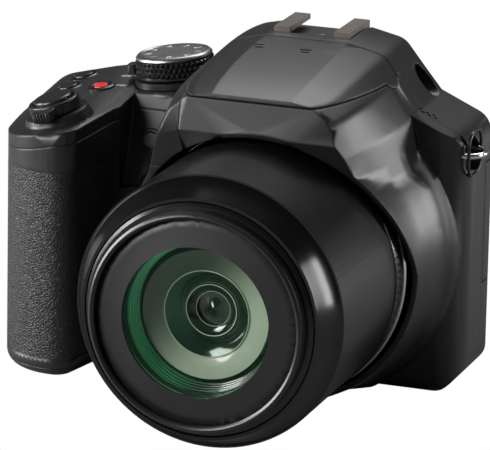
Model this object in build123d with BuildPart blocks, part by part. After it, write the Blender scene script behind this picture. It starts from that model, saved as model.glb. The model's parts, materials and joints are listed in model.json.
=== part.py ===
"""Bridge camera: a moulded body with a hand grip and a viewfinder hump round a fixed superzoom lens.

Millimetres, +Z up. The lens looks along -Y, the grip is at -X. The origin is the mouth of the tripod
socket, on the base plane, straight below the lens axis.
"""
from build123d import *
import math
import os

os.makedirs("parts", exist_ok=True)

# Body
BODY_LEFT = 85.0            # lens axis to the grip's outer side
BODY_RIGHT = 45.2           # lens axis to the side with the sockets
BODY_FRONT = 15.2           # origin to the front plane beside the lens
BODY_REAR = 13.3            # origin to the screen side
GRIP_FRONT = 42.5           # origin to the front of the grip
GRIP_WIDTH = 29.0           # across the grip's nose
GRIP_FLARE = 5.5            # how much wider the grip gets where it joins the body
GRIP_TAPER = 8.9            # how far the grip's outer side leans in from the rear to the nose
GRIP_NOSE_RADIUS = 17.0
GRIP_INNER_RADIUS = 6.5
GRIP_ROOT_RADIUS = 9.0
FRONT_CORNER_RADIUS = 8.0
REAR_CORNER_RADIUS = 5.0
WALL = 2.4
FLOOR_THICKNESS = 2.6
BASE_EDGE_RADIUS = 4.0

# Deck and shoulders
DECK_Z = 72.9               # deck height below the mode dial
DECK_PITCH = 6.0            # degrees, down towards the front
DECK_LEAN = 14.5            # degrees, down towards the grip side, outside the dial
DECK_BEND_X = 60.0          # lens axis to where the level part and the leaning part meet
DECK_BEND_RADIUS = 40.0
DECK_EDGE_RADIUS = 12.0
NOSE_TOP_Z = 70.6           # height of the grip's top over its front
NOSE_EDGE_RADIUS = 10.0
DECK_SLAB = 3.6             # thickness of the top cover under the deck
DECK_FRONT = 8.0            # origin to the deck's front edge
BROW_SLOPE_START_Z = 48.0   # where the front face starts to lean back
SHOULDER_Z = 72.3
SHOULDER_X = 38.4
SHOULDER_SLOPE = 24.0       # degrees, down towards the socket side
SHOULDER_RADIUS = 9.0
SOLE_RADIUS = 10.0

# Lens
LENS_AXIS_Z = 38.3
LENS_FRONT = 96.7           # origin to the front of the filter ring
COLLAR_FRONT = 34.5         # origin to the housing's collar, beside the lens
COLLAR_FLARE = 4.6
BARREL_RADIUS = 36.1
COLLAR_MARGIN = 3.1
COLLAR_RADIUS = BARREL_RADIUS + COLLAR_MARGIN
BARREL_WALL = 1.8
BAND_RISE = 1.3             # of the front band over the barrel
BAND_RADIUS = BARREL_RADIUS + BAND_RISE
BAND_FALL = 1.4
BAND_EDGE_RADIUS = BARREL_RADIUS - BAND_FALL
GAP = 0.35                  # round a piece that moves
RUNNING = 0.05              # radial clearance of a pin or a shaft
SEAT = 0.1                  # between fixed pieces that are laid into each other
OVERRUN = 40.0              # how far a cut or a zone runs past the solid

BORE_CLEARANCE = 1.7
LENS_BORE = BARREL_RADIUS + BORE_CLEARANCE    # in the collar and under the brow

# Rooms inside the housing
LOWER_ROOM_TOP = 48.0
UPPER_ROOM_TOP = 66.0
UPPER_ROOM_INSET = 8.0
FINDER_ROOM_HALF_WIDTH = 12.0
FINDER_ROOM_FRONT = 8.0

# Hump
HUMP_X = -1.8
HUMP_FRONT = 56.0
HUMP_HALF_WIDTH = 31.0
HUMP_RISE = 15.9            # from the top of the lens bore to the hump's top
HUMP_TOP_Z = LENS_AXIS_Z + LENS_BORE + HUMP_RISE
HUMP_CREASE_RADIUS = 1.5    # along the edges of the flat on top
HUMP_CORNER_RADIUS = 6.0
BROW_Y = -54.0
BROW_DROP = 15.7
BROW_Z = HUMP_TOP_Z - BROW_DROP
LID_SEAM_Y = -52.0
LID_SEAM_DROP = 6.8
LID_SEAM_Z = HUMP_TOP_Z - LID_SEAM_DROP
FINDER_ROOM_DROP = 6.0
FINDER_ROOM_TOP = HUMP_TOP_Z - FINDER_ROOM_DROP

LENS_AXIS = Axis((0, 0, LENS_AXIS_Z), (0, -1, 0))
LENS_PLANE = Plane(origin=(0, 0, LENS_AXIS_Z), x_dir=(0, 1, 0), z_dir=(1, 0, 0))
BODY_WIDTH = BODY_LEFT + BODY_RIGHT


def leaning_plane(origin, outward, forward):
    """A plane whose normal leans outward (to the grip side) and forward, in degrees."""
    out = math.radians(outward)
    fore = math.radians(forward)
    normal = Vector(-math.sin(out), -math.sin(fore), math.cos(out) * math.cos(fore)).normalized()
    x_dir = Vector(0, 1, 0).cross(normal).normalized()
    return Plane(origin=origin, x_dir=x_dir, z_dir=normal)


def deck_lean(x):
    """How far the deck has fallen at x from its level part, and how it leans there in degrees."""
    run = -x - DECK_BEND_X + DECK_BEND_RADIUS * math.tan(math.radians(DECK_LEAN / 2))
    if run <= 0:
        return 0, 0
    if run < DECK_BEND_RADIUS * math.sin(math.radians(DECK_LEAN)):
        lean = math.asin(run / DECK_BEND_RADIUS)
        return DECK_BEND_RADIUS * (1 - math.cos(lean)), math.degrees(lean)
    return math.tan(math.radians(DECK_LEAN)) * (-x - DECK_BEND_X), DECK_LEAN


def deck_height(x, y):
    """Height of the deck at x, y."""
    return DECK_Z - deck_lean(x)[0] + math.tan(math.radians(DECK_PITCH)) * (y - DIAL_Y)


def deck_plane(x, y):
    """Plane on the deck at x, y, square to the deck."""
    return leaning_plane((x, y, deck_height(x, y)), deck_lean(x)[1], DECK_PITCH)


def grip_side_x(y):
    """Where the grip's outer side stands at y."""
    return GRIP_TAPER * (BODY_REAR - y) / (BODY_REAR + GRIP_FRONT) - BODY_LEFT


def turned(points, plane=LENS_PLANE, axis=LENS_AXIS):
    """A solid of revolution from (along, radius) points about the lens axis or another one."""
    with BuildPart() as body:
        with BuildSketch(plane):
            with BuildLine():
                Polyline(*points, close=True)
            make_face()
        revolve(axis=axis)
    return body.part


def box_between(low, high):
    """An upright box between two corners."""
    with BuildPart() as body:
        with BuildSketch(Plane.XY.offset(low[2])):
            with Locations(((low[0] + high[0]) / 2, (low[1] + high[1]) / 2)):
                Rectangle(high[0] - low[0], high[1] - low[1])
        extrude(amount=high[2] - low[2])
    return body.part


def disc(plane, radius, low, high):
    """A round disc on a plane, from one height above it to another."""
    with BuildPart() as body:
        with BuildSketch(plane.offset(low)):
            Circle(radius)
        extrude(amount=high - low)
    return body.part


def crowned_button(plane, radius, depth, proud, crown):
    """A round push button with a rounded top edge."""
    with BuildPart() as body:
        with BuildSketch(plane.offset(-depth)):
            Circle(radius)
        extrude(amount=depth + proud)
        fillet(body.edges().filter_by(GeomType.CIRCLE).sort_by(Axis(plane.origin, plane.z_dir))[-1], crown)
    return body.part


# Places on the deck
DIAL_X = -42.5
DIAL_Y = 3.0
DIAL_LEAN = 7.0
DIAL_RADIUS = 10.4
DIAL_POST_RADIUS = 4.0
DIAL_BASE = 2.3             # deck to the underside of the dial
DIAL_TOP = 8.8
LEVER_THICKNESS = 1.6
LEVER_RADIUS = 11.2
LEVER_TAB_REACH = 13.4
LEVER_TAB_WIDTH = 4.2
LEVER_TAB_TOP = 5.6
SHUTTER_X = -64.5
SHUTTER_Y = -29.5
SHUTTER_Z = 70.6
SHUTTER_LEAN = 15.0
SHUTTER_FORWARD = 7.0
SHUTTER_BOSS_RADIUS = 9.4
SHUTTER_BOSS_TOP_RADIUS = 8.5
SHUTTER_BOSS_DEPTH = 6.0
SHUTTER_BUTTON_RADIUS = 5.3
SHUTTER_TRAVEL = 1.2
ZOOM_RING_RADIUS = 6.9
ZOOM_RING_HEIGHT = 3.0
BUTTON_TRAVEL = 0.5
BUTTON_DEPTH = 2.2
BUTTON_PROUD = 0.7

# Where the housing divides
REAR_SEAM_Y = 2.6
TOP_SEAM_Y = 9.0
SKIN_THICKNESS = 1.2
SKIN_BOTTOM = 5.5
SKIN_TOP = 57.0
SKIN_END = 42.5
SKIN_REAR = 0.0

# Flash lid and head
LID_HINGE_Y = 13.5
LID_HINGE_DROP = 3.6
LID_HINGE_Z = HUMP_TOP_Z - LID_HINGE_DROP
LID_END_RADIUS = 5.7
LID_REAR_DROP = 7.7
LID_SEAM_REAR_Z = HUMP_TOP_Z - LID_REAR_DROP
LID_SKIN = 1.6
LID_HOLLOW_FRONT = 44.0
LID_HOLLOW_REAR = 20.0
HEAD_FRONT = 47.0
HEAD_REAR = 31.0
HEAD_HALF_WIDTH = 12.5
HEAD_DROP = 13.0
HEAD_BOTTOM = HUMP_TOP_Z - HEAD_DROP
HEAD_SWING = 2.3            # how far the head's lower edges swing out as the lid opens
WINDOW_WIDTH = 22.0
WINDOW_HEIGHT = 4.2
WINDOW_DEPTH = 1.2
REFLECTOR_WIDTH = 20.0
REFLECTOR_HEIGHT = 3.6
REFLECTOR_DEPTH = 5.0
REFLECTOR_TAPER = 10.0
THUMB_TAPER = 10.0
HINGE_PIN_RADIUS = 0.8
HINGE_PIN_HALF = 13.0
LUG_OFFSET = 9.5
LUG_WIDTH = 3.0
LUG_RADIUS = 2.2
LUG_SLOT_REACH = 4.2

# Hot shoe
SHOE_FRONT = 4.4
SHOE_HALF_WIDTH = 11.0
SHOE_DROP = 3.7
SHOE_FLOOR_Z = HUMP_TOP_Z - SHOE_DROP
SHOE_BASE_THICKNESS = 1.7
SHOE_CHANNEL = 18.6
SHOE_THROAT = 12.5
SHOE_SLOT_HEIGHT = 2.1
RAIL_WALL = 1.3
RAIL_LIP = 1.4
RAIL_LENGTH = 17.0

# Controls
SHUTTER_STEM = 2.6
SHUTTER_BOSS_RISE = 2.4
SHUTTER_LAND = 0.9          # how far the grip's top lies below the boss
DIAL_CAP_THICKNESS = 0.9
MOVIE_X = -61.5
MOVIE_Y = -4.5
MOVIE_RADIUS = 2.0
FUNCTION_X = -71.6
FUNCTION_Y = 8.5
DRIVE_X = -72.7
DRIVE_Y = -0.4
DECK_BUTTON_RADIUS = 2.7
DIOPTER_RADIUS = 3.6
DIOPTER_THICKNESS = 2.6
DIOPTER_SHAFT_RADIUS = 1.0
DIOPTER_SHAFT_LENGTH = 3.0
DIOPTER_Y = 7.0
DIOPTER_DROP = 12.0
DIOPTER_Z = HUMP_TOP_Z - DIOPTER_DROP
DIOPTER_X = 20.5
FINDER_WINDOW_HALF_WIDTH = 9.5
FINDER_WINDOW_DROP = 6.4
FINDER_WINDOW_HEIGHT = 10.6
FINDER_WINDOW_TOP = HUMP_TOP_Z - FINDER_WINDOW_DROP
FINDER_WINDOW_BOTTOM = FINDER_WINDOW_TOP - FINDER_WINDOW_HEIGHT

# Rear controls
REAR_BUTTON_RADIUS = 2.9
MENU_BUTTON_RADIUS = 4.2
PAD_RADIUS = 10.0
PAD_X = -58.0
PAD_Z = 27.0
VIEW_X = 27.0
VIEW_Z = 65.0
LOCK_X = -43.0
LOCK_Z = 63.0
PLAY_X = -45.0
PLAY_Z = 49.0
QUICK_X = -70.0
DISPLAY_X = -46.5
LOW_BUTTON_Z = 11.5
BUTTON_CROWN = 0.5
REAR_DIAL_X = -66.0
REAR_DIAL_Y = 8.3
REAR_DIAL_Z = 59.0
REAR_DIAL_RADIUS = 7.0
REAR_DIAL_THICKNESS = 3.6
REAR_DIAL_NOTCHES = 24
REAR_DIAL_NOTCH_RADIUS = 0.5
REAR_DIAL_SHAFT_RADIUS = 1.2
REAR_DIAL_SHAFT_LENGTH = 1.5
DIOPTER_NOTCHES = 16
DIOPTER_NOTCH_RADIUS = 0.4
THUMB_X = -71.0
THUMB_Z = 46.5
THUMB_WIDTH = 19.0
THUMB_HEIGHT = 15.0
THUMB_CORNER = 4.0
THUMB_SINK = 0.5
THUMB_PROUD = 1.5

# Screen
SCREEN_X = 2.0
SCREEN_Z = 34.0
GLASS_WIDTH = 69.0
GLASS_HEIGHT = 51.0
GLASS_THICKNESS = 1.2
PANEL_WIDTH = 64.0
PANEL_HEIGHT = 47.0
PANEL_THICKNESS = 2.4

# Eyepiece
EYEPIECE_THICKNESS = 3.4
EYECUP_DEPTH = 9.2
EYECUP_WIDTH = 33.0
EYECUP_HEIGHT = 18.0
EYECUP_TAPER = 2.5
EYECUP_CORNER = 4.5
EYECUP_DROP = 12.2
EYECUP_Z = HUMP_TOP_Z - EYECUP_DROP
FINDER_DISPLAY_HALF = 8.0

# Socket door
SOCKET_HINGE_Y = 4.2
SOCKET_DOOR_REAR = 11.0
SOCKET_DOOR_BOTTOM = 27.0
SOCKET_DOOR_TOP = 60.0
SOCKET_DOOR_THICKNESS = 1.6
SOCKET_PIN_RADIUS = 0.4
SOCKET_PIN_REACH = 3.0
SOCKET_FRAME = 1.2
SOCKET_BLOCK_DEPTH = 9.0
SOCKET_WIDTH = 3.0
USB_HEIGHT = 8.0
HDMI_HEIGHT = 9.5
socket_place_shares = (0.3, 0.68)

# Focus lamp
LAMP_X = -44.6
LAMP_Y = 11.5
LAMP_Z = 60.2
LAMP_RADIUS = 2.1
LAMP_DEPTH = 1.6
LAMP_SINK = 0.3

# Strap eyelets
EYELET_Z = 65.5
EYELET_Y = -6.5
EYELET_HALF = 5.0
EYELET_RISE = 6.0
EYELET_WIRE = 0.8
EYELET_DEPTH = 3.4
POCKET_WIDTH = 10.0
POCKET_HEIGHT = 11.0
POCKET_CORNER = 3.5
GRIP_EYELET_Z = 61.0
GRIP_EYELET_Y = 4.0

# Base
HATCH_LEFT = 76.5
HATCH_RIGHT = 55.0
HATCH_FRONT = 29.0
HATCH_HINGE_Y = 4.5
HATCH_THICKNESS = 1.8
HATCH_PIN_RADIUS = 0.5
HATCH_PIN_REACH = 1.5
BATTERY_LEFT = 75.9
BATTERY_FRONT = 27.0
BATTERY_WIDTH = 20.3
BATTERY_DEPTH = 29.0
BATTERY_HEIGHT = 44.0
BATTERY_BOX_WALL = 0.9
BATTERY_CORNER = 2.0
LATCH_LENGTH = 7.0
LATCH_WIDTH = 3.6
LATCH_THICKNESS = 1.0
LATCH_INSET = 1.6
LATCH_SINK = 0.2
LATCH_TRAVEL = 2.5
LATCH_RIBS = 6
BUSH_RADIUS = 5.0
BUSH_HEIGHT = 7.4
BUSH_FLANGE_RADIUS = 7.0
BUSH_FLANGE_THICKNESS = 1.0
TRIPOD_RADIUS = 3.1         # quarter-inch tripod thread
TRIPOD_DEPTH = 6.4
SCREW_RIGHT_X = 34.0
SCREW_LEFT_X = 38.0
SCREW_Y = 8.0
SCREW_SHANK_RADIUS = 0.8
SCREW_HEAD_RADIUS = 1.6
SCREW_HEAD_HEIGHT = 1.0
SCREW_SINK = 0.2

# Electronics
BOARD_LEFT = 48.0
BOARD_RIGHT = 34.0
BOARD_BOTTOM = 9.0
BOARD_TOP = 47.4
BOARD_Y = 4.2
BOARD_THICKNESS = 1.2
CHIP_HEIGHT = 1.0
chip_place_shares = ((0.3, 0.55, 0.28), (0.55, 0.3, 0.2), (0.78, 0.62, 0.24), (0.12, 0.25, 0.16))
SENSOR_WIDTH = 16.0
SENSOR_HEIGHT = 14.0
SENSOR_THICKNESS = 3.0
CAPACITOR_RADIUS = 3.6
CAPACITOR_X = 62.5
CAPACITOR_BOTTOM = 8.0
CAPACITOR_LENGTH = 34.0
MOTOR_RADIUS = 4.0
MOTOR_X = 42.0
MOTOR_BOTTOM = 2.6
MOTOR_LENGTH = 22.0

# Lens pieces, measured forward from the origin along the axis
BAND_SEAT_Y = 85.0
BAND_REAR_Y = 72.5
BAND_CREST_Y = 82.6
BAND_CREST_WIDTH = 0.9
BAND_GROOVE = 0.7
BAND_EDGE_Y = 86.2
FLARE_ROUND = 2.0
FLARE_FRONT = 92.6
FLARE_LIP = 0.8
FRONT_BORE_STEP = 5.1
FRONT_BORE = BARREL_RADIUS - FRONT_BORE_STEP
BASE_RING_FRONT = 43.6
BASE_RING_STEP = 0.3
BARREL_GROOVE = 0.6
BARREL_FLANGE = 12.0
ACCENT_FRONT = 37.4
ACCENT_WIDTH = 1.2
ACCENT_HEIGHT = 0.7
CAM_FRONT = 84.5
CAM_REAR = 40.0
CAM_STEP = 3.8
CAM_INNER = BARREL_RADIUS - CAM_STEP
STAGE_WALL = 1.5
STAGE_ONE_FRONT = 91.0
STAGE_ONE_REAR = 47.0
GUIDE_WIDTH = 4.0
LIP_FRONT = 93.4
STAGE_TWO_REAR = 49.0
FILTER_RING_CLEARANCE = 2.25
FILTER_RING_RADIUS = FRONT_BORE - FILTER_RING_CLEARANCE
FILTER_WALL = 1.55
FILTER_THREAD_RADIUS = FILTER_RING_RADIUS - FILTER_WALL
FILTER_BEVEL = 0.6
PLATE_RIM_Y = 94.6
PLATE_INNER_Y = 95.6
PLATE_WIDTH = 7.5
FRONT_GLASS_RADIUS = FILTER_THREAD_RADIUS - PLATE_WIDTH
GLASS_SEAT = 2.0
GLASS_RIM_Y = 95.0
GLASS_CROWN_Y = 96.6
GLASS_HOLLOW = 1.5
HOLDER_SLEEVE = 5.0
HOLDER_WALL = 1.6
REAR_LENS_RADIUS = 11.0
REAR_LENS_BULGE = 1.2

# Turning controls
DIAL_BEVEL = 0.9
DIAL_BEVEL_TAPER = 45.0
DIAL_SKIRT = 1.0
DIAL_NOTCH = 0.55
DIAL_NOTCHES = 36
DIAL_CAP_RADIUS = 9.0
LEVER_TAB_CORNER = 0.9
LEVER_TAB_BOTTOM = 2.9
ZOOM_TAB_WIDTH = 5.6
ZOOM_TAB_REACH = 10.6
ZOOM_TAB_CORNER = 1.2
ZOOM_TAB_RIBS = 7
ZOOM_TAB_NOTCH = 0.3
SHUTTER_PROUD = 0.9
SHUTTER_CROWN = 0.8

# Shoe contacts
contact_place_shares = ((0.0, 0.5), (-0.25, 0.22), (0.25, 0.22), (0.25, 0.72))
CONTACT_RADIUS = 0.9
CONTACT_HEIGHT = 0.25

dial_plane = leaning_plane((DIAL_X, DIAL_Y, DECK_Z), DIAL_LEAN, 0)
shutter_plane = leaning_plane((SHUTTER_X, SHUTTER_Y, SHUTTER_Z), SHUTTER_LEAN, SHUTTER_FORWARD)

diopter_plane = Plane(origin=(DIOPTER_X, DIOPTER_Y, DIOPTER_Z), x_dir=(0, 1, 0), z_dir=(1, 0, 0))
dial_wheel_plane = Plane(origin=(REAR_DIAL_X, REAR_DIAL_Y, REAR_DIAL_Z), x_dir=(1, 0, 0), z_dir=(0, 0, 1))
finder_window = box_between(
    (HUMP_X - FINDER_WINDOW_HALF_WIDTH, BODY_REAR - 2 * WALL, FINDER_WINDOW_BOTTOM),
    (HUMP_X + FINDER_WINDOW_HALF_WIDTH, BODY_REAR + WALL, FINDER_WINDOW_TOP))


def eyelet_wire(side_x, y, z, outward):
    """A wire bow that stands out of the side wall, its ends sunk by the eyelet's depth."""
    inner = side_x - outward * EYELET_DEPTH
    with BuildPart() as wire:
        with BuildLine() as bow:
            ThreePointArc((inner, y - EYELET_HALF, z), (inner + outward * EYELET_RISE, y, z),
                          (inner, y + EYELET_HALF, z))
        with BuildSketch(Plane(origin=bow.line @ 0, z_dir=bow.line % 0)):
            Circle(EYELET_WIRE)
        sweep()
    return wire.part


strap_wires = [
    eyelet_wire(BODY_RIGHT, EYELET_Y, EYELET_Z, 1),
    eyelet_wire(grip_side_x(GRIP_EYELET_Y) + EYELET_WIRE, GRIP_EYELET_Y, GRIP_EYELET_Z, -1),
]
with BuildPart() as lug_pocket_form:
    with BuildSketch(Plane(origin=(BODY_RIGHT - EYELET_DEPTH, EYELET_Y, EYELET_Z), x_dir=(0, 1, 0),
                           z_dir=(1, 0, 0))):
        RectangleRounded(POCKET_WIDTH, POCKET_HEIGHT, POCKET_CORNER)
    extrude(amount=EYELET_DEPTH + OVERRUN)
lug_pocket = lug_pocket_form.part

with BuildPart() as thumb_form:
    with BuildSketch(Plane(origin=(THUMB_X, BODY_REAR - THUMB_SINK, THUMB_Z), x_dir=(-1, 0, 0),
                           z_dir=(0, 1, 0))):
        RectangleRounded(THUMB_WIDTH, THUMB_HEIGHT, THUMB_CORNER)
    extrude(amount=THUMB_SINK + THUMB_PROUD, taper=THUMB_TAPER)
thumb_pad = thumb_form.part

# Outer form of the moulded housing, before it is divided into covers
GRIP_INNER_X = GRIP_WIDTH - BODY_LEFT
GRIP_ROOT_X = GRIP_INNER_X + GRIP_FLARE
plan_corners = (
    ((grip_side_x(-GRIP_FRONT), -GRIP_FRONT), GRIP_NOSE_RADIUS),
    ((GRIP_INNER_X, -GRIP_FRONT), GRIP_INNER_RADIUS),
    ((GRIP_ROOT_X, -BODY_FRONT), GRIP_ROOT_RADIUS),
    ((BODY_RIGHT, -BODY_FRONT), FRONT_CORNER_RADIUS),
    ((BODY_RIGHT, BODY_REAR), REAR_CORNER_RADIUS),
    ((-BODY_LEFT, BODY_REAR), REAR_CORNER_RADIUS),
)

with BuildSketch() as plan:
    with BuildLine():
        Polyline(*[corner for corner, radius in plan_corners], close=True)
    make_face()
    for corner, radius in plan_corners:
        near = plan.vertices().sort_by_distance((*corner, 0))[0]
        fillet(near, radius)

# The grip side is what the plan, the view from the front and the view from the side have in common
pitch = math.radians(DECK_PITCH)
deck_view = Plane(origin=(0, DIAL_Y, DECK_Z), x_dir=(1, 0, 0), z_dir=(0, -math.cos(pitch), -math.sin(pitch)))
outer_corner = (-BODY_LEFT, -math.tan(math.radians(DECK_LEAN)) * (BODY_LEFT - DECK_BEND_X))
with BuildPart() as grip_side:
    with BuildSketch(deck_view) as deck_profile:
        with BuildLine():
            Polyline((HUMP_X, 0), (-DECK_BEND_X, 0), outer_corner, (-BODY_LEFT, -DECK_Z - OVERRUN),
                     (HUMP_X, -DECK_Z - OVERRUN), close=True)
        make_face()
        for corner, radius in (((-DECK_BEND_X, 0), DECK_BEND_RADIUS), (outer_corner, DECK_EDGE_RADIUS)):
            fillet(deck_profile.vertices().sort_by_distance((*corner, 0))[0], radius)
    extrude(amount=LENS_FRONT, both=True)
    with BuildSketch(Plane.YZ.offset(-BODY_WIDTH)) as side_view:
        with BuildLine():
            Polyline((BODY_REAR, 0), (BODY_REAR, HUMP_TOP_Z), (-GRIP_FRONT, NOSE_TOP_Z), (-GRIP_FRONT, 0),
                     close=True)
        make_face()
        fillet(side_view.vertices().sort_by_distance((-GRIP_FRONT, NOSE_TOP_Z, 0))[0], NOSE_EDGE_RADIUS)
    extrude(amount=BODY_WIDTH + HUMP_X, mode=Mode.INTERSECT)
    extrude(plan.sketch, amount=HUMP_TOP_Z, mode=Mode.INTERSECT)
    sole = grip_side.faces().sort_by(Axis.Z)[0].edges()
    fillet([edge for edge in sole if edge.center().X < GRIP_ROOT_X], BASE_EDGE_RADIUS)
    split(bisect_by=shutter_plane.offset(-SHUTTER_LAND), keep=Keep.BOTTOM)


def shoulder_height(x):
    """Height of the shoulder's slope at x, on the socket side of the hump."""
    return SHOULDER_Z - math.tan(math.radians(SHOULDER_SLOPE)) * (x - SHOULDER_X)


shoulder_corners = (
    ((BODY_RIGHT, 0), SOLE_RADIUS),
    ((BODY_RIGHT, shoulder_height(BODY_RIGHT)), SHOULDER_RADIUS),
)
with BuildPart() as socket_side:
    with BuildSketch(Plane.XZ.offset(-BODY_REAR)) as front_view:
        with BuildLine():
            Polyline(
                (HUMP_X, 0),
                shoulder_corners[0][0],
                shoulder_corners[1][0],
                (SHOULDER_X / 2, shoulder_height(SHOULDER_X / 2)),
                (HUMP_X, shoulder_height(SHOULDER_X / 2)),
                close=True,
            )
        make_face()
        for corner, radius in shoulder_corners:
            fillet(front_view.vertices().sort_by_distance((*corner, 0))[0], radius)
    extrude(amount=BODY_REAR + BODY_FRONT)
    extrude(plan.sketch, amount=HUMP_TOP_Z, mode=Mode.INTERSECT)
    with BuildSketch(Plane.YZ.offset(HUMP_X)) as end_view:
        with BuildLine():
            Polyline((BODY_REAR, 0), (BODY_REAR, HUMP_TOP_Z), (-BODY_FRONT, HUMP_TOP_Z), (-BODY_FRONT, 0),
                     close=True)
        make_face()
        for y in (BODY_REAR, -BODY_FRONT):
            fillet(end_view.vertices().sort_by_distance((y, 0, 0))[0], BASE_EDGE_RADIUS)
    extrude(amount=BODY_RIGHT - HUMP_X, mode=Mode.INTERSECT)

# The hump: sections across it, as shares of its half width and of its height over the lens axis
HUMP_HEIGHT = HUMP_TOP_Z - LENS_AXIS_Z
HUMP_LENGTH = HUMP_FRONT + BODY_REAR
hump_section_shares = (
    (0.00, ((0.33, 0.870), (0.50, 0.862), (0.68, 0.790), (0.80, 0.640), (0.98, 0.0))),
    (0.20, ((0.37, 0.928), (0.62, 0.900), (0.79, 0.820), (0.92, 0.660), (1.16, 0.0))),
    (0.45, ((0.38, 0.972), (0.66, 0.935), (0.84, 0.840), (1.02, 0.670), (1.30, 0.0))),
    (0.70, ((0.37, 1.000), (0.68, 0.955), (0.84, 0.850), (1.05, 0.690), (1.34, 0.0))),
    (1.00, ((0.34, 0.990), (0.66, 0.950), (0.80, 0.850), (1.03, 0.690), (1.34, 0.0))),
)
hump_corner_radii = (HUMP_CREASE_RADIUS, HUMP_CORNER_RADIUS, HUMP_CORNER_RADIUS, HUMP_CORNER_RADIUS)

with BuildPart() as hump:
    for along_share, half_shares in hump_section_shares:
        with BuildSketch(Plane.XZ.offset(HUMP_FRONT - along_share * HUMP_LENGTH)) as section:
            right = [(HUMP_X + HUMP_HALF_WIDTH * x_share, LENS_AXIS_Z + HUMP_HEIGHT * z_share)
                     for x_share, z_share in half_shares]
            left = [(2 * HUMP_X - x, z) for x, z in reversed(right)]
            with BuildLine():
                Polyline(*right, *left, close=True)
            make_face()
            for index, radius in enumerate(hump_corner_radii):
                for x, z in (right[index], left[len(left) - 1 - index]):
                    corner = section.vertices().sort_by_distance((x, z, 0))[0]
                    fillet(corner, radius)
    loft()
    brow_lean = Plane(origin=(0, BROW_Y, BROW_Z), x_dir=(1, 0, 0),
                      z_dir=Vector(0, BROW_Z - LID_SEAM_Z, LID_SEAM_Y - BROW_Y))
    split(bisect_by=brow_lean, keep=Keep.BOTTOM)
    rim_lean = Plane(origin=(0, BROW_Y, BROW_Z), x_dir=(1, 0, 0),
                     z_dir=Vector(0, LENS_AXIS_Z - BROW_Z, BROW_Y + COLLAR_FRONT))
    split(bisect_by=rim_lean, keep=Keep.BOTTOM)

# The brow's rim runs round the lens down to the collar
with BuildPart() as hood:
    add(turned(((-HUMP_FRONT, 0), (-HUMP_FRONT, COLLAR_RADIUS),
                (-BODY_FRONT, COLLAR_RADIUS), (-BODY_FRONT, 0))))
    split(bisect_by=rim_lean, keep=Keep.BOTTOM)

# The collar flares from its rim back to the front plane of the body
collar = turned((
    (-COLLAR_FRONT, 0),
    (-COLLAR_FRONT, COLLAR_RADIUS),
    (-BODY_FRONT - COLLAR_FLARE, COLLAR_RADIUS + COLLAR_FLARE / 2),
    (-BODY_FRONT, COLLAR_RADIUS + COLLAR_FLARE),
    (0, COLLAR_RADIUS + COLLAR_FLARE),
    (0, 0),
))


def rim_plan(inset):
    """The plan outline moved inwards."""
    return offset(plan.sketch, amount=-inset, mode=Mode.PRIVATE)


with BuildPart() as chamber:
    with BuildSketch(Plane.XZ.offset(-BODY_REAR)):
        offset(front_view.sketch, amount=-WALL)
    extrude(amount=BODY_REAR + BODY_FRONT)
    extrude(Plane.XY.offset(FLOOR_THICKNESS) * rim_plan(WALL), amount=LOWER_ROOM_TOP - FLOOR_THICKNESS,
            mode=Mode.INTERSECT)
    grip_room = split(rim_plan(WALL), bisect_by=Plane(origin=(HUMP_X + 2 * WALL, 0, 0), z_dir=(1, 0, 0)),
                      keep=Keep.BOTTOM, mode=Mode.PRIVATE)
    extrude(Plane.XY.offset(FLOOR_THICKNESS) * grip_room, amount=LOWER_ROOM_TOP - FLOOR_THICKNESS)
    extrude(Plane.XY.offset(LOWER_ROOM_TOP) * rim_plan(UPPER_ROOM_INSET),
            amount=UPPER_ROOM_TOP - LOWER_ROOM_TOP)
    add(box_between((HUMP_X - FINDER_ROOM_HALF_WIDTH, -FINDER_ROOM_FRONT, UPPER_ROOM_TOP),
                    (HUMP_X + FINDER_ROOM_HALF_WIDTH, BODY_REAR - WALL, FINDER_ROOM_TOP)))

lens_bore = turned(((-LENS_FRONT, 0), (-LENS_FRONT, LENS_BORE), (WALL - BODY_FRONT, LENS_BORE),
                    (WALL - BODY_FRONT, 0)))

slope_top_z = deck_height(HUMP_X, -DECK_FRONT)
with BuildPart() as housing:
    add(grip_side.part)
    with BuildSketch(Plane.YZ.offset(GRIP_ROOT_X)):
        with BuildLine():
            Polyline(
                (-BODY_FRONT - OVERRUN, BROW_SLOPE_START_Z),
                (-BODY_FRONT, BROW_SLOPE_START_Z),
                (-DECK_FRONT, slope_top_z),
                (-DECK_FRONT, slope_top_z + OVERRUN),
                (-BODY_FRONT - OVERRUN, slope_top_z + OVERRUN),
                close=True,
            )
        make_face()
    extrude(amount=HUMP_X - GRIP_ROOT_X, mode=Mode.SUBTRACT)
    add(socket_side.part)
    add(hump.part)
    add(hood.part)
    add(collar)
    add(box_between((-BODY_WIDTH, -LENS_FRONT, -OVERRUN), (BODY_WIDTH, LENS_FRONT, 0)), mode=Mode.SUBTRACT)
    add(lens_bore, mode=Mode.SUBTRACT)
    add(chamber.part, mode=Mode.SUBTRACT)


def lid_seam_height(y):
    """Height of the flash lid's lower edge at y."""
    share = (y - LID_SEAM_Y) / (-LID_HINGE_Y - LID_SEAM_Y)
    return LID_SEAM_Z + share * (LID_SEAM_REAR_Z - LID_SEAM_Z)


def across(points, low_x, high_x):
    """A prism along X with a side outline of (y, z) points."""
    with BuildPart() as body:
        with BuildSketch(Plane.YZ.offset(low_x)):
            with BuildLine():
                Polyline(*points, close=True)
            make_face()
        extrude(amount=high_x - low_x)
    return body.part


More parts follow.
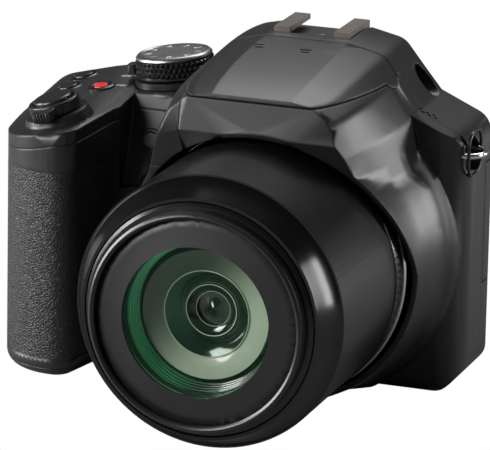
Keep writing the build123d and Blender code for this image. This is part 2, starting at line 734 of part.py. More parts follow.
def lid_zone(clearance):
    """What lies above the flash lid's seam, with the round end about its hinge."""
    top = HUMP_TOP_Z + OVERRUN
    with BuildPart() as zone:
        with BuildSketch(Plane.YZ.offset(-BODY_WIDTH)):
            with BuildLine():
                Polyline(
                    (-LENS_FRONT, lid_seam_height(-LENS_FRONT) - clearance),
                    (-LID_HINGE_Y, LID_SEAM_REAR_Z - clearance),
                    (-LID_HINGE_Y, top),
                    (-LENS_FRONT, top),
                    close=True,
                )
            make_face()
            with Locations((-LID_HINGE_Y, LID_HINGE_Z)):
                Circle(LID_END_RADIUS + clearance)
        extrude(amount=2 * BODY_WIDTH)
    return zone.part


# Zones that divide the housing into its covers
zone_end_x = HUMP_X - LENS_BORE / 2
with BuildPart() as top_zone:
    with BuildSketch(deck_view):
        with BuildLine():
            fall = math.tan(math.radians(DECK_LEAN)) * (BODY_WIDTH - DECK_BEND_X)
            Polyline((-BODY_WIDTH, -fall - DECK_SLAB),
                     (-DECK_BEND_X, -DECK_SLAB), (BODY_WIDTH, -DECK_SLAB), (BODY_WIDTH, DECK_SLAB + OVERRUN),
                     (-BODY_WIDTH, DECK_SLAB + OVERRUN), close=True)
        make_face()
    extrude(amount=LENS_FRONT, both=True)
    add(box_between((zone_end_x, -LENS_FRONT, 0), (BODY_WIDTH, -TOP_SEAM_Y, HUMP_TOP_Z + OVERRUN)),
        mode=Mode.SUBTRACT)
rear_zone = box_between((-BODY_WIDTH, REAR_SEAM_Y, 0), (BODY_WIDTH, LENS_FRONT, HUMP_TOP_Z))
base_zone = box_between((-BODY_WIDTH, -LENS_FRONT, 0), (BODY_WIDTH, LENS_FRONT, FLOOR_THICKNESS))

with BuildPart() as skin_zone:
    with BuildSketch(Plane.XY.offset(SKIN_BOTTOM)):
        add(plan.sketch)
        offset(plan.sketch, amount=-SKIN_THICKNESS, mode=Mode.SUBTRACT)
    extrude(amount=SKIN_TOP - SKIN_BOTTOM)
    add(box_between((-BODY_WIDTH, -GRIP_FRONT, 0), (-SKIN_END, SKIN_REAR, SKIN_TOP)), mode=Mode.INTERSECT)

# Flash lid with the flash head under it
hinge_plane = Plane(origin=(HUMP_X, -LID_HINGE_Y, LID_HINGE_Z), x_dir=(0, 1, 0), z_dir=(1, 0, 0))
head_low = (HUMP_X - HEAD_HALF_WIDTH, -HEAD_FRONT, HEAD_BOTTOM)
head_high = (HUMP_X + HEAD_HALF_WIDTH, -HEAD_REAR, LID_SEAM_REAR_Z)
lug_offsets = (-LUG_OFFSET, LUG_OFFSET)

with BuildPart() as flash_lid:
    add(hump.part)
    add(lid_zone(0), mode=Mode.INTERSECT)
    add(across(((-LID_HOLLOW_FRONT, 0), (-LID_HOLLOW_FRONT, LID_SEAM_Z + LID_SKIN),
                (-LID_HOLLOW_REAR, HUMP_TOP_Z - 2 * LID_SKIN), (-LID_HOLLOW_REAR, 0)),
               HUMP_X - HEAD_HALF_WIDTH - LID_SKIN, HUMP_X + HEAD_HALF_WIDTH + LID_SKIN), mode=Mode.SUBTRACT)
    for lug_offset in lug_offsets:
        reach = LUG_WIDTH / 2 + GAP
        lug_x = HUMP_X + lug_offset
        add(box_between((lug_x - reach, -LID_HINGE_Y - LUG_SLOT_REACH, LID_SEAM_REAR_Z - OVERRUN),
                        (lug_x + reach, -LID_HINGE_Y + 2 * LID_END_RADIUS, LID_HINGE_Z + LUG_RADIUS + GAP)),
            mode=Mode.SUBTRACT)
    add(disc(hinge_plane, HINGE_PIN_RADIUS + RUNNING, -HINGE_PIN_HALF, HINGE_PIN_HALF), mode=Mode.SUBTRACT)
flash_lid.part.label = "flash_lid"
export_step(flash_lid.part, "parts/flash_lid.step")

with BuildPart() as flash_head:
    add(box_between(head_low, head_high))
    with BuildSketch(Plane.XZ.offset(HEAD_FRONT)):
        with Locations((HUMP_X, (HEAD_BOTTOM + LID_SEAM_REAR_Z) / 2)):
            Rectangle(WINDOW_WIDTH, WINDOW_HEIGHT)
    extrude(amount=-WINDOW_DEPTH, mode=Mode.SUBTRACT)
    with BuildSketch(Plane.XZ.offset(HEAD_FRONT - WINDOW_DEPTH)):
        with Locations((HUMP_X, (HEAD_BOTTOM + LID_SEAM_REAR_Z) / 2)):
            Rectangle(REFLECTOR_WIDTH, REFLECTOR_HEIGHT)
    extrude(amount=-REFLECTOR_DEPTH, taper=REFLECTOR_TAPER, mode=Mode.SUBTRACT)
flash_head.part.label = "flash_head"
export_step(flash_head.part, "parts/flash_head.step")

with BuildPart() as flash_window:
    with BuildSketch(Plane.XZ.offset(HEAD_FRONT)):
        with Locations((HUMP_X, (HEAD_BOTTOM + LID_SEAM_REAR_Z) / 2)):
            Rectangle(WINDOW_WIDTH, WINDOW_HEIGHT)
    extrude(amount=-WINDOW_DEPTH)
flash_window.part.label = "flash_window"
export_step(flash_window.part, "parts/flash_window.step")

head_pocket = box_between(
    (head_low[0] - HEAD_SWING, head_low[1] - HEAD_SWING, head_low[2] - GAP),
    (head_high[0] + HEAD_SWING, head_high[1] + HEAD_SWING, LID_SEAM_Z + OVERRUN))
lug_solids = []
for lug_offset in lug_offsets:
    lug_plane = hinge_plane.offset(lug_offset)
    with BuildPart() as lug:
        add(disc(lug_plane, LUG_RADIUS, -LUG_WIDTH / 2, LUG_WIDTH / 2))
        add(box_between(
            (HUMP_X + lug_offset - LUG_WIDTH / 2, -LID_HINGE_Y - LUG_RADIUS,
             LID_HINGE_Z - LID_END_RADIUS - 2 * GAP),
            (HUMP_X + lug_offset + LUG_WIDTH / 2, -LID_HINGE_Y + LUG_RADIUS, LID_HINGE_Z)))
        add(disc(lug_plane, HINGE_PIN_RADIUS, -LUG_WIDTH, LUG_WIDTH), mode=Mode.SUBTRACT)
    lug_solids.append(lug.part)

# Openings for the controls on the deck
shutter_boss = turned(
    ((-SHUTTER_BOSS_DEPTH, 0), (-SHUTTER_BOSS_DEPTH, SHUTTER_BOSS_RADIUS),
     (-SHUTTER_BOSS_RISE, SHUTTER_BOSS_RADIUS), (0, SHUTTER_BOSS_TOP_RADIUS), (0, 0)),
    Plane(origin=shutter_plane.origin, x_dir=shutter_plane.z_dir, z_dir=shutter_plane.y_dir),
    Axis(shutter_plane.origin, shutter_plane.z_dir))
deck_buttons = {
    "movie_button": (deck_plane(MOVIE_X, MOVIE_Y), MOVIE_RADIUS),
    "function_button": (deck_plane(FUNCTION_X, FUNCTION_Y), DECK_BUTTON_RADIUS),
    "drive_button": (deck_plane(DRIVE_X, DRIVE_Y), DECK_BUTTON_RADIUS),
}
button_room = BUTTON_DEPTH + BUTTON_TRAVEL + GAP
shutter_room = SHUTTER_STEM + SHUTTER_TRAVEL + GAP

with BuildPart() as dial_boss:
    add(disc(dial_plane, LEVER_RADIUS, -DECK_SLAB, 0))
    add(top_zone.part, mode=Mode.INTERSECT)
    add(box_between((-BODY_WIDTH, -LENS_FRONT, 0), (BODY_WIDTH, BODY_REAR, HUMP_TOP_Z)), mode=Mode.INTERSECT)

with BuildPart() as top_cover:
    add(housing.part)
    add(top_zone.part, mode=Mode.INTERSECT)
    add(shutter_boss)
    add(dial_boss.part)
    add(lid_zone(GAP), mode=Mode.SUBTRACT)
    add(disc(dial_plane, LEVER_RADIUS + GAP, 0, OVERRUN), mode=Mode.SUBTRACT)
    add(disc(dial_plane, DIAL_POST_RADIUS, -DIAL_POST_RADIUS / 2, DIAL_TOP - DIAL_CAP_THICKNESS - GAP))
    add(disc(shutter_plane, SHUTTER_BUTTON_RADIUS + GAP, -shutter_room, OVERRUN), mode=Mode.SUBTRACT)
    for plane, radius in deck_buttons.values():
        add(disc(plane, radius + GAP, -button_room, OVERRUN), mode=Mode.SUBTRACT)
    add(box_between((HUMP_X - SHOE_HALF_WIDTH, -SHOE_FRONT, SHOE_FLOOR_Z),
                    (HUMP_X + SHOE_HALF_WIDTH, BODY_REAR + OVERRUN, HUMP_TOP_Z + OVERRUN)),
        mode=Mode.SUBTRACT)
    add(disc(diopter_plane, DIOPTER_RADIUS + GAP, -GAP, OVERRUN), mode=Mode.SUBTRACT)
    add(disc(diopter_plane, DIOPTER_SHAFT_RADIUS + RUNNING, -DIOPTER_SHAFT_LENGTH - GAP, 0),
        mode=Mode.SUBTRACT)
    add(finder_window, mode=Mode.SUBTRACT)
top_cover.part.label = "top_cover"
export_step(top_cover.part, "parts/top_cover.step")

with BuildPart() as grip_skin:
    add(housing.part)
    add(skin_zone.part, mode=Mode.INTERSECT)
grip_skin.part.label = "grip_skin"
export_step(grip_skin.part, "parts/grip_skin.step")

# Front cover: what is left in front of the rear seam
lamp_plane = Plane(origin=(LAMP_X, -LAMP_Y, LAMP_Z), x_dir=(1, 0, 0),
                   z_dir=Vector(0, BROW_SLOPE_START_Z - slope_top_z, BODY_FRONT - DECK_FRONT))
with BuildPart() as front_cover:
    add(housing.part)
    for zone in (top_zone.part, rear_zone, base_zone, skin_zone.part, lid_zone(GAP), head_pocket,
                 shutter_boss):
        add(zone, mode=Mode.SUBTRACT)
    for lug_solid in lug_solids:
        add(lug_solid)
    add(disc(dial_plane, LEVER_RADIUS + GAP, 0, OVERRUN), mode=Mode.SUBTRACT)
    add(disc(dial_plane, DIAL_POST_RADIUS, -DIAL_POST_RADIUS / 2, 0), mode=Mode.SUBTRACT)
    add(disc(lamp_plane, LAMP_RADIUS, -LAMP_DEPTH, OVERRUN), mode=Mode.SUBTRACT)
    add(disc(dial_wheel_plane, REAR_DIAL_RADIUS + GAP, -GAP, REAR_DIAL_THICKNESS + GAP), mode=Mode.SUBTRACT)
    add(lug_pocket, mode=Mode.SUBTRACT)
    for wire in strap_wires:
        add(wire, mode=Mode.SUBTRACT)
front_cover.part.label = "front_cover"
export_step(front_cover.part, "parts/front_cover.step")

with BuildPart() as af_lamp_window:
    with BuildSketch(lamp_plane.offset(-LAMP_DEPTH)):
        Circle(LAMP_RADIUS - SEAT / 2)
    extrude(amount=LAMP_DEPTH - LAMP_SINK)
    fillet(af_lamp_window.faces().sort_by(Axis(lamp_plane.origin, lamp_plane.z_dir))[-1].edges(), LAMP_SINK)
af_lamp_window.part.label = "af_lamp_window"
export_step(af_lamp_window.part, "parts/af_lamp_window.step")

# Rear cover with its openings


def rear_spot(x, z):
    """Plane on the screen side at x, z, facing back."""
    return Plane(origin=(x, BODY_REAR, z), x_dir=(-1, 0, 0), z_dir=(0, 1, 0))


def screen_block(width, height, depth, start):
    """A rectangular block round the screen's centre, from start in front of the rear face."""
    return box_between((SCREEN_X - width / 2, BODY_REAR - start, SCREEN_Z - height / 2),
                       (SCREEN_X + width / 2, BODY_REAR - start + depth, SCREEN_Z + height / 2))


rear_buttons = {
    "view_button": (rear_spot(VIEW_X, VIEW_Z), REAR_BUTTON_RADIUS),
    "lock_button": (rear_spot(LOCK_X, LOCK_Z), REAR_BUTTON_RADIUS),
    "play_button": (rear_spot(PLAY_X, PLAY_Z), REAR_BUTTON_RADIUS),
    "quick_button": (rear_spot(QUICK_X, LOW_BUTTON_Z), REAR_BUTTON_RADIUS),
    "display_button": (rear_spot(DISPLAY_X, LOW_BUTTON_Z), REAR_BUTTON_RADIUS),
    "menu_button": (rear_spot(PAD_X, PAD_Z), MENU_BUTTON_RADIUS),
}
pad_plane = rear_spot(PAD_X, PAD_Z)

door_low = (BODY_RIGHT - SOCKET_DOOR_THICKNESS, SOCKET_HINGE_Y, SOCKET_DOOR_BOTTOM)
door_high = (BODY_RIGHT + SOCKET_DOOR_THICKNESS, SOCKET_DOOR_REAR, SOCKET_DOOR_TOP)
knuckle_radius = SOCKET_DOOR_THICKNESS / 2
knuckle_spot = (BODY_RIGHT - knuckle_radius, SOCKET_HINGE_Y)


def socket_door_zone(clearance):
    """The socket door's outline with its round hinge end."""
    with BuildPart() as zone:
        with BuildSketch(Plane.XY.offset(SOCKET_DOOR_BOTTOM - clearance)):
            with Locations(knuckle_spot):
                Circle(knuckle_radius + clearance)
            with BuildLine():
                Polyline(
                    (door_low[0] - clearance, SOCKET_HINGE_Y),
                    (door_high[0], SOCKET_HINGE_Y),
                    (door_high[0], SOCKET_DOOR_REAR + clearance),
                    (door_low[0] - clearance, SOCKET_DOOR_REAR + clearance),
                    close=True,
                )
            make_face()
        extrude(amount=SOCKET_DOOR_TOP - SOCKET_DOOR_BOTTOM + 2 * clearance)
    return zone.part


def knuckle_pin(radius, reach):
    """The socket door's pin, or its bore, past both ends of the door by reach."""
    with BuildPart() as pin:
        with BuildSketch(Plane.XY.offset(SOCKET_DOOR_BOTTOM - reach)):
            with Locations(knuckle_spot):
                Circle(radius)
        extrude(amount=SOCKET_DOOR_TOP - SOCKET_DOOR_BOTTOM + 2 * reach)
    return pin.part


socket_opening = box_between(
    (BODY_RIGHT - SOCKET_BLOCK_DEPTH - SEAT, SOCKET_HINGE_Y + SOCKET_FRAME,
     SOCKET_DOOR_BOTTOM + SOCKET_FRAME),
    (BODY_RIGHT, SOCKET_DOOR_REAR - SOCKET_FRAME, SOCKET_DOOR_TOP - SOCKET_FRAME))

with BuildPart() as rear_cover:
    add(housing.part)
    add(rear_zone, mode=Mode.INTERSECT)
    for zone in (top_zone.part, base_zone, skin_zone.part):
        add(zone, mode=Mode.SUBTRACT)
    add(screen_block(GLASS_WIDTH + SEAT, GLASS_HEIGHT + SEAT, OVERRUN, GLASS_THICKNESS), mode=Mode.SUBTRACT)
    add(screen_block(PANEL_WIDTH + SEAT, PANEL_HEIGHT + SEAT, OVERRUN, 2 * WALL), mode=Mode.SUBTRACT)
    for plane, radius in rear_buttons.values():
        add(disc(plane, radius + GAP, -button_room, OVERRUN), mode=Mode.SUBTRACT)
    add(disc(pad_plane, PAD_RADIUS + GAP, -button_room, OVERRUN), mode=Mode.SUBTRACT)
    add(disc(dial_wheel_plane, REAR_DIAL_RADIUS + GAP, -GAP, REAR_DIAL_THICKNESS + GAP), mode=Mode.SUBTRACT)
    add(disc(dial_wheel_plane, REAR_DIAL_SHAFT_RADIUS + RUNNING, -REAR_DIAL_SHAFT_LENGTH - GAP,
             REAR_DIAL_THICKNESS + REAR_DIAL_SHAFT_LENGTH + GAP), mode=Mode.SUBTRACT)
    add(thumb_pad, mode=Mode.SUBTRACT)
    add(socket_door_zone(GAP), mode=Mode.SUBTRACT)
    add(knuckle_pin(SOCKET_PIN_RADIUS, SOCKET_PIN_REACH), mode=Mode.SUBTRACT)
    add(socket_opening, mode=Mode.SUBTRACT)
    add(finder_window, mode=Mode.SUBTRACT)
    for wire in strap_wires:
        add(wire, mode=Mode.SUBTRACT)
rear_cover.part.label = "rear_cover"
export_step(rear_cover.part, "parts/rear_cover.step")

for name, (plane, radius) in (deck_buttons | rear_buttons).items():
    with BuildPart() as button:
        add(crowned_button(plane, radius, BUTTON_DEPTH, BUTTON_PROUD, BUTTON_CROWN))
    button.part.label = name
    export_step(button.part, f"parts/{name}.step")

with BuildPart() as four_way_pad:
    add(crowned_button(pad_plane, PAD_RADIUS, BUTTON_DEPTH, BUTTON_PROUD, BUTTON_CROWN))
    add(disc(pad_plane, MENU_BUTTON_RADIUS + GAP, -OVERRUN, OVERRUN), mode=Mode.SUBTRACT)
four_way_pad.part.label = "four_way_pad"
export_step(four_way_pad.part, "parts/four_way_pad.step")

with BuildPart() as thumb_rest:
    add(thumb_pad)
thumb_rest.part.label = "thumb_rest"
export_step(thumb_rest.part, "parts/thumb_rest.step")

with BuildPart() as rear_dial:
    add(disc(dial_wheel_plane, REAR_DIAL_RADIUS, 0, REAR_DIAL_THICKNESS))
    with BuildSketch(dial_wheel_plane):
        with PolarLocations(REAR_DIAL_RADIUS, REAR_DIAL_NOTCHES):
            Circle(REAR_DIAL_NOTCH_RADIUS)
    extrude(amount=REAR_DIAL_THICKNESS, mode=Mode.SUBTRACT)
    add(disc(dial_wheel_plane, REAR_DIAL_SHAFT_RADIUS, -REAR_DIAL_SHAFT_LENGTH,
             REAR_DIAL_THICKNESS + REAR_DIAL_SHAFT_LENGTH))
rear_dial.part.label = "rear_dial"
export_step(rear_dial.part, "parts/rear_dial.step")

with BuildPart() as diopter_dial:
    add(disc(diopter_plane, DIOPTER_RADIUS, 0, DIOPTER_THICKNESS))
    with BuildSketch(diopter_plane):
        with PolarLocations(DIOPTER_RADIUS, DIOPTER_NOTCHES):
            Circle(DIOPTER_NOTCH_RADIUS)
    extrude(amount=DIOPTER_THICKNESS, mode=Mode.SUBTRACT)
    add(disc(diopter_plane, DIOPTER_SHAFT_RADIUS, -DIOPTER_SHAFT_LENGTH, 0))
diopter_dial.part.label = "diopter_dial"
export_step(diopter_dial.part, "parts/diopter_dial.step")

# Socket door, its pin and the sockets behind it
with BuildPart() as socket_door:
    add(socket_side.part)
    add(socket_door_zone(0), mode=Mode.INTERSECT)
    add(knuckle_pin(SOCKET_PIN_RADIUS + RUNNING, OVERRUN), mode=Mode.SUBTRACT)
socket_door.part.label = "socket_door"
export_step(socket_door.part, "parts/socket_door.step")

with BuildPart() as socket_block:
    add(box_between(
        (BODY_RIGHT - SOCKET_BLOCK_DEPTH, SOCKET_HINGE_Y + SOCKET_FRAME + SEAT,
         SOCKET_DOOR_BOTTOM + SOCKET_FRAME + SEAT),
        (BODY_RIGHT - SOCKET_DOOR_THICKNESS - 2 * GAP, SOCKET_DOOR_REAR - SOCKET_FRAME - SEAT,
         SOCKET_DOOR_TOP - SOCKET_FRAME - SEAT)))
    for share, height in zip(socket_place_shares, (USB_HEIGHT, HDMI_HEIGHT)):
        z = SOCKET_DOOR_BOTTOM + share * (SOCKET_DOOR_TOP - SOCKET_DOOR_BOTTOM)
        y = (SOCKET_HINGE_Y + SOCKET_DOOR_REAR) / 2
        add(box_between((BODY_RIGHT - SOCKET_BLOCK_DEPTH + WALL, y - SOCKET_WIDTH / 2, z - height / 2),
                        (BODY_RIGHT, y + SOCKET_WIDTH / 2, z + height / 2)), mode=Mode.SUBTRACT)
socket_block.part.label = "socket_block"
export_step(socket_block.part, "parts/socket_block.step")

# Screen
with BuildPart() as screen_glass:
    add(screen_block(GLASS_WIDTH, GLASS_HEIGHT, GLASS_THICKNESS, GLASS_THICKNESS))
screen_glass.part.label = "screen_glass"
export_step(screen_glass.part, "parts/screen_glass.step")

with BuildPart() as lcd_panel:
    add(screen_block(PANEL_WIDTH, PANEL_HEIGHT, PANEL_THICKNESS, GLASS_THICKNESS + PANEL_THICKNESS))
lcd_panel.part.label = "lcd_panel"
export_step(lcd_panel.part, "parts/lcd_panel.step")

# Viewfinder
finder_mid_z = (FINDER_WINDOW_BOTTOM + FINDER_WINDOW_TOP) / 2
with BuildPart() as eyepiece_lens:
    with BuildSketch(Plane.XZ.offset(WALL - BODY_REAR)):
        with Locations((HUMP_X, finder_mid_z)):
            Rectangle(2 * FINDER_WINDOW_HALF_WIDTH - SEAT, FINDER_WINDOW_TOP - FINDER_WINDOW_BOTTOM - SEAT)
    extrude(amount=-EYEPIECE_THICKNESS)
eyepiece_lens.part.label = "eyepiece_lens"
export_step(eyepiece_lens.part, "parts/eyepiece_lens.step")

with BuildPart() as eyecup:
    for along, shrink in ((0, 0), (EYECUP_DEPTH, EYECUP_TAPER)):
        with BuildSketch(Plane(origin=(HUMP_X, BODY_REAR + along, EYECUP_Z), x_dir=(-1, 0, 0),
                               z_dir=(0, 1, 0))):
            RectangleRounded(EYECUP_WIDTH - shrink, EYECUP_HEIGHT - shrink, EYECUP_CORNER)
    loft()
    with BuildSketch(Plane(origin=(HUMP_X, BODY_REAR, finder_mid_z), x_dir=(-1, 0, 0), z_dir=(0, 1, 0))):
        RectangleRounded(2 * FINDER_WINDOW_HALF_WIDTH + WALL / 2,
                         FINDER_WINDOW_TOP - FINDER_WINDOW_BOTTOM + WALL / 2, WALL)
    extrude(amount=EYECUP_DEPTH, mode=Mode.SUBTRACT)
eyecup.part.label = "eyecup"
export_step(eyecup.part, "parts/eyecup.step")

with BuildPart() as viewfinder_display:
    add(box_between((HUMP_X - FINDER_DISPLAY_HALF, -FINDER_ROOM_FRONT,
                     finder_mid_z - FINDER_DISPLAY_HALF / 2),
                    (HUMP_X + FINDER_DISPLAY_HALF, WALL - FINDER_ROOM_FRONT,
                     finder_mid_z + FINDER_DISPLAY_HALF / 2)))
viewfinder_display.part.label = "viewfinder_display"
export_step(viewfinder_display.part, "parts/viewfinder_display.step")

# Strap eyelets: one bent wire on each side
with BuildPart() as strap_eyelets:
    for wire in strap_wires:
        add(wire)
strap_eyelets.part.label = "strap_eyelets"
export_step(strap_eyelets.part, "parts/strap_eyelets.step")

# Base plate with the tripod bush and the battery door
hatch_low = (-HATCH_LEFT, -HATCH_FRONT, 0)
hatch_high = (-HATCH_RIGHT, HATCH_HINGE_Y, HATCH_THICKNESS)
hatch_knuckle = HATCH_THICKNESS / 2


def hatch_zone(clearance):
    """The battery door's outline with its round hinge end."""
    with BuildPart() as zone:
        with BuildSketch(Plane.YZ.offset(hatch_low[0] - clearance)):
            with Locations((HATCH_HINGE_Y, hatch_knuckle)):
                Circle(hatch_knuckle + clearance)
            with BuildLine():
                Polyline(
                    (hatch_low[1] - clearance, 0),
                    (HATCH_HINGE_Y, 0),
                    (HATCH_HINGE_Y, HATCH_THICKNESS + clearance),
                    (hatch_low[1] - clearance, HATCH_THICKNESS + clearance),
                    close=True,
                )
            make_face()
        extrude(amount=hatch_high[0] - hatch_low[0] + 2 * clearance)
    return zone.part


def hatch_pin(radius, reach):
    """The battery door's pin, or its bore, past both sides of the door by reach."""
    with BuildPart() as pin:
        with BuildSketch(Plane.YZ.offset(hatch_low[0] - reach)):
            with Locations((HATCH_HINGE_Y, hatch_knuckle)):
                Circle(radius)
        extrude(amount=hatch_high[0] - hatch_low[0] + 2 * reach)
    return pin.part


battery_low = (-BATTERY_LEFT, -BATTERY_FRONT, FLOOR_THICKNESS)
battery_high = (battery_low[0] + BATTERY_WIDTH, battery_low[1] + BATTERY_DEPTH,
                FLOOR_THICKNESS + BATTERY_HEIGHT)
latch_low = ((hatch_low[0] + hatch_high[0] - LATCH_LENGTH) / 2, hatch_low[1] + LATCH_INSET, LATCH_SINK)
latch_high = (latch_low[0] + LATCH_LENGTH, latch_low[1] + LATCH_WIDTH, LATCH_SINK + LATCH_THICKNESS)
screw_spots = ((SCREW_RIGHT_X, -SCREW_Y), (SCREW_RIGHT_X, SCREW_Y),
               (-SCREW_LEFT_X, SCREW_Y), (-SCREW_LEFT_X, -SCREW_Y))

with BuildPart() as bottom_cover:
    add(housing.part)
    add(base_zone, mode=Mode.INTERSECT)
    add(hatch_zone(GAP), mode=Mode.SUBTRACT)
    add(hatch_pin(HATCH_PIN_RADIUS, HATCH_PIN_REACH), mode=Mode.SUBTRACT)
    add(box_between((battery_low[0], battery_low[1], 0), (battery_high[0], battery_high[1], FLOOR_THICKNESS)),
        mode=Mode.SUBTRACT)
    with Locations((0, 0, 0)):
        Cylinder(BUSH_RADIUS, OVERRUN, mode=Mode.SUBTRACT)
    with Locations(*[(x, y, 0) for x, y in screw_spots]):
        Cylinder(SCREW_SHANK_RADIUS, OVERRUN, mode=Mode.SUBTRACT)
        Cylinder(SCREW_HEAD_RADIUS, 2 * SCREW_HEAD_HEIGHT, mode=Mode.SUBTRACT)
bottom_cover.part.label = "bottom_cover"
export_step(bottom_cover.part, "parts/bottom_cover.step")

with BuildPart() as housing_screws:
    for x, y in screw_spots:
        with BuildSketch(Plane.XY.offset(SCREW_SINK)):
            with Locations((x, y)):
                Circle(SCREW_HEAD_RADIUS)
        extrude(amount=SCREW_HEAD_HEIGHT - SCREW_SINK)
        with BuildSketch(Plane.XY.offset(SCREW_HEAD_HEIGHT)):
            with Locations((x, y)):
                Circle(SCREW_SHANK_RADIUS)
        extrude(amount=FLOOR_THICKNESS - SCREW_HEAD_HEIGHT)
housing_screws.part.label = "housing_screws"
export_step(housing_screws.part, "parts/housing_screws.step")

with BuildPart() as tripod_bush:
    Cylinder(BUSH_RADIUS, BUSH_HEIGHT, align=(Align.CENTER, Align.CENTER, Align.MIN))
    with BuildSketch(Plane.XY.offset(FLOOR_THICKNESS)):
        Circle(BUSH_FLANGE_RADIUS)
    extrude(amount=BUSH_FLANGE_THICKNESS)
    Cylinder(TRIPOD_RADIUS, 2 * TRIPOD_DEPTH, mode=Mode.SUBTRACT)
tripod_bush.part.label = "tripod_bush"
export_step(tripod_bush.part, "parts/tripod_bush.step")

with BuildPart() as battery_door:
    add(hatch_zone(0))
    add(grip_side.part, mode=Mode.INTERSECT)
    add(hatch_pin(HATCH_PIN_RADIUS + RUNNING, OVERRUN), mode=Mode.SUBTRACT)
    add(box_between((latch_low[0] - GAP, latch_low[1] - GAP, 0),
                    (latch_high[0] + LATCH_TRAVEL + GAP, latch_high[1] + GAP, latch_high[2] + GAP)),
        mode=Mode.SUBTRACT)
battery_door.part.label = "battery_door"
export_step(battery_door.part, "parts/battery_door.step")

with BuildPart() as door_latch:
    add(box_between(latch_low, latch_high))
    with BuildSketch(Plane.XY.offset(LATCH_SINK)):
        with Locations(((latch_low[0] + latch_high[0]) / 2, (latch_low[1] + latch_high[1]) / 2)):
            with GridLocations(LATCH_LENGTH / LATCH_RIBS, 0, LATCH_RIBS - 1, 1):
                Rectangle(LATCH_SINK, LATCH_WIDTH)
    extrude(amount=LATCH_SINK, mode=Mode.SUBTRACT)
door_latch.part.label = "door_latch"
export_step(door_latch.part, "parts/door_latch.step")

with BuildPart() as battery_box:
    add(box_between(battery_low, (battery_high[0], battery_high[1], battery_high[2] + BATTERY_BOX_WALL)))
    add(box_between(
        (battery_low[0] + BATTERY_BOX_WALL, battery_low[1] + BATTERY_BOX_WALL, 0),
        (battery_high[0] - BATTERY_BOX_WALL, battery_high[1] - BATTERY_BOX_WALL, battery_high[2])),
        mode=Mode.SUBTRACT)
battery_box.part.label = "battery_box"
export_step(battery_box.part, "parts/battery_box.step")

with BuildPart() as battery:
    inset = BATTERY_BOX_WALL + SEAT
    add(box_between((battery_low[0] + inset, battery_low[1] + inset, FLOOR_THICKNESS),
                    (battery_high[0] - inset, battery_high[1] - inset, battery_high[2] - SEAT)))
    fillet(battery.edges().filter_by(Axis.Z), BATTERY_CORNER)
battery.part.label = "battery"
export_step(battery.part, "parts/battery.step")

with BuildPart() as hinge_pins:
    add(disc(hinge_plane, HINGE_PIN_RADIUS, -HINGE_PIN_HALF + GAP, HINGE_PIN_HALF - GAP))
    add(hatch_pin(HATCH_PIN_RADIUS, HATCH_PIN_REACH))
    add(knuckle_pin(SOCKET_PIN_RADIUS, SOCKET_PIN_REACH))
hinge_pins.part.label = "hinge_pins"
export_step(hinge_pins.part, "parts/hinge_pins.step")

# Electronics
with BuildPart() as main_board:
    add(box_between((-BOARD_LEFT, BOARD_Y, BOARD_BOTTOM),
                    (BOARD_RIGHT, BOARD_Y + BOARD_THICKNESS, BOARD_TOP)))
    for x_share, z_share, size_share in chip_place_shares:
        x = -BOARD_LEFT + x_share * (BOARD_LEFT + BOARD_RIGHT)
        z = BOARD_BOTTOM + z_share * (BOARD_TOP - BOARD_BOTTOM)
        half = size_share * (BOARD_TOP - BOARD_BOTTOM) / 2
        add(box_between((x - half, BOARD_Y + BOARD_THICKNESS, z - half),
                        (x + half, BOARD_Y + BOARD_THICKNESS + CHIP_HEIGHT, z + half)))
main_board.part.label = "main_board"
export_step(main_board.part, "parts/main_board.step")

with BuildPart() as image_sensor:
    add(box_between((-SENSOR_WIDTH / 2, BOARD_Y - SENSOR_THICKNESS, LENS_AXIS_Z - SENSOR_HEIGHT / 2),
                    (SENSOR_WIDTH / 2, BOARD_Y, LENS_AXIS_Z + SENSOR_HEIGHT / 2)))
image_sensor.part.label = "image_sensor"
export_step(image_sensor.part, "parts/image_sensor.step")

with BuildPart() as flash_capacitor:
    with BuildSketch(Plane.XY.offset(CAPACITOR_BOTTOM)):
        with Locations((-CAPACITOR_X, -GRIP_FRONT + WALL + CAPACITOR_RADIUS + SEAT)):
            Circle(CAPACITOR_RADIUS)
    extrude(amount=CAPACITOR_LENGTH)
flash_capacitor.part.label = "flash_capacitor"
export_step(flash_capacitor.part, "parts/flash_capacitor.step")

with BuildPart() as zoom_motor:
    with BuildSketch(Plane.XY.offset(MOTOR_BOTTOM)):
        with Locations((-MOTOR_X, -BODY_FRONT + WALL + MOTOR_RADIUS + SEAT)):
            Circle(MOTOR_RADIUS)
    extrude(amount=MOTOR_LENGTH)
zoom_motor.part.label = "zoom_motor"
export_step(zoom_motor.part, "parts/zoom_motor.step")

# Lens: fixed barrel, front band, silver ring and rear holder
BARREL_REAR = BODY_FRONT - WALL
BARREL_INNER = BARREL_RADIUS - BARREL_WALL
with BuildPart() as lens_outer_barrel:
    add(turned((
        (-BAND_SEAT_Y, BARREL_INNER),
        (-BAND_SEAT_Y, BARREL_RADIUS),
        (-BASE_RING_FRONT - BARREL_GROOVE, BARREL_RADIUS),
        (-BASE_RING_FRONT - BARREL_GROOVE, BARREL_RADIUS - BARREL_GROOVE / 2),
        (-BASE_RING_FRONT, BARREL_RADIUS - BARREL_GROOVE / 2),
        (-BASE_RING_FRONT, BARREL_RADIUS + BASE_RING_STEP),
        (-ACCENT_FRONT, BARREL_RADIUS + BASE_RING_STEP),
        (-ACCENT_FRONT, BARREL_RADIUS),
        (-COLLAR_FRONT + BARREL_FLANGE, BARREL_RADIUS),
        (-COLLAR_FRONT + BARREL_FLANGE, LENS_BORE - SEAT / 2),
        (-BARREL_REAR, LENS_BORE - SEAT / 2),
        (-BARREL_REAR, BARREL_INNER),
    )))
lens_outer_barrel.part.label = "lens_outer_barrel"
export_step(lens_outer_barrel.part, "parts/lens_outer_barrel.step")

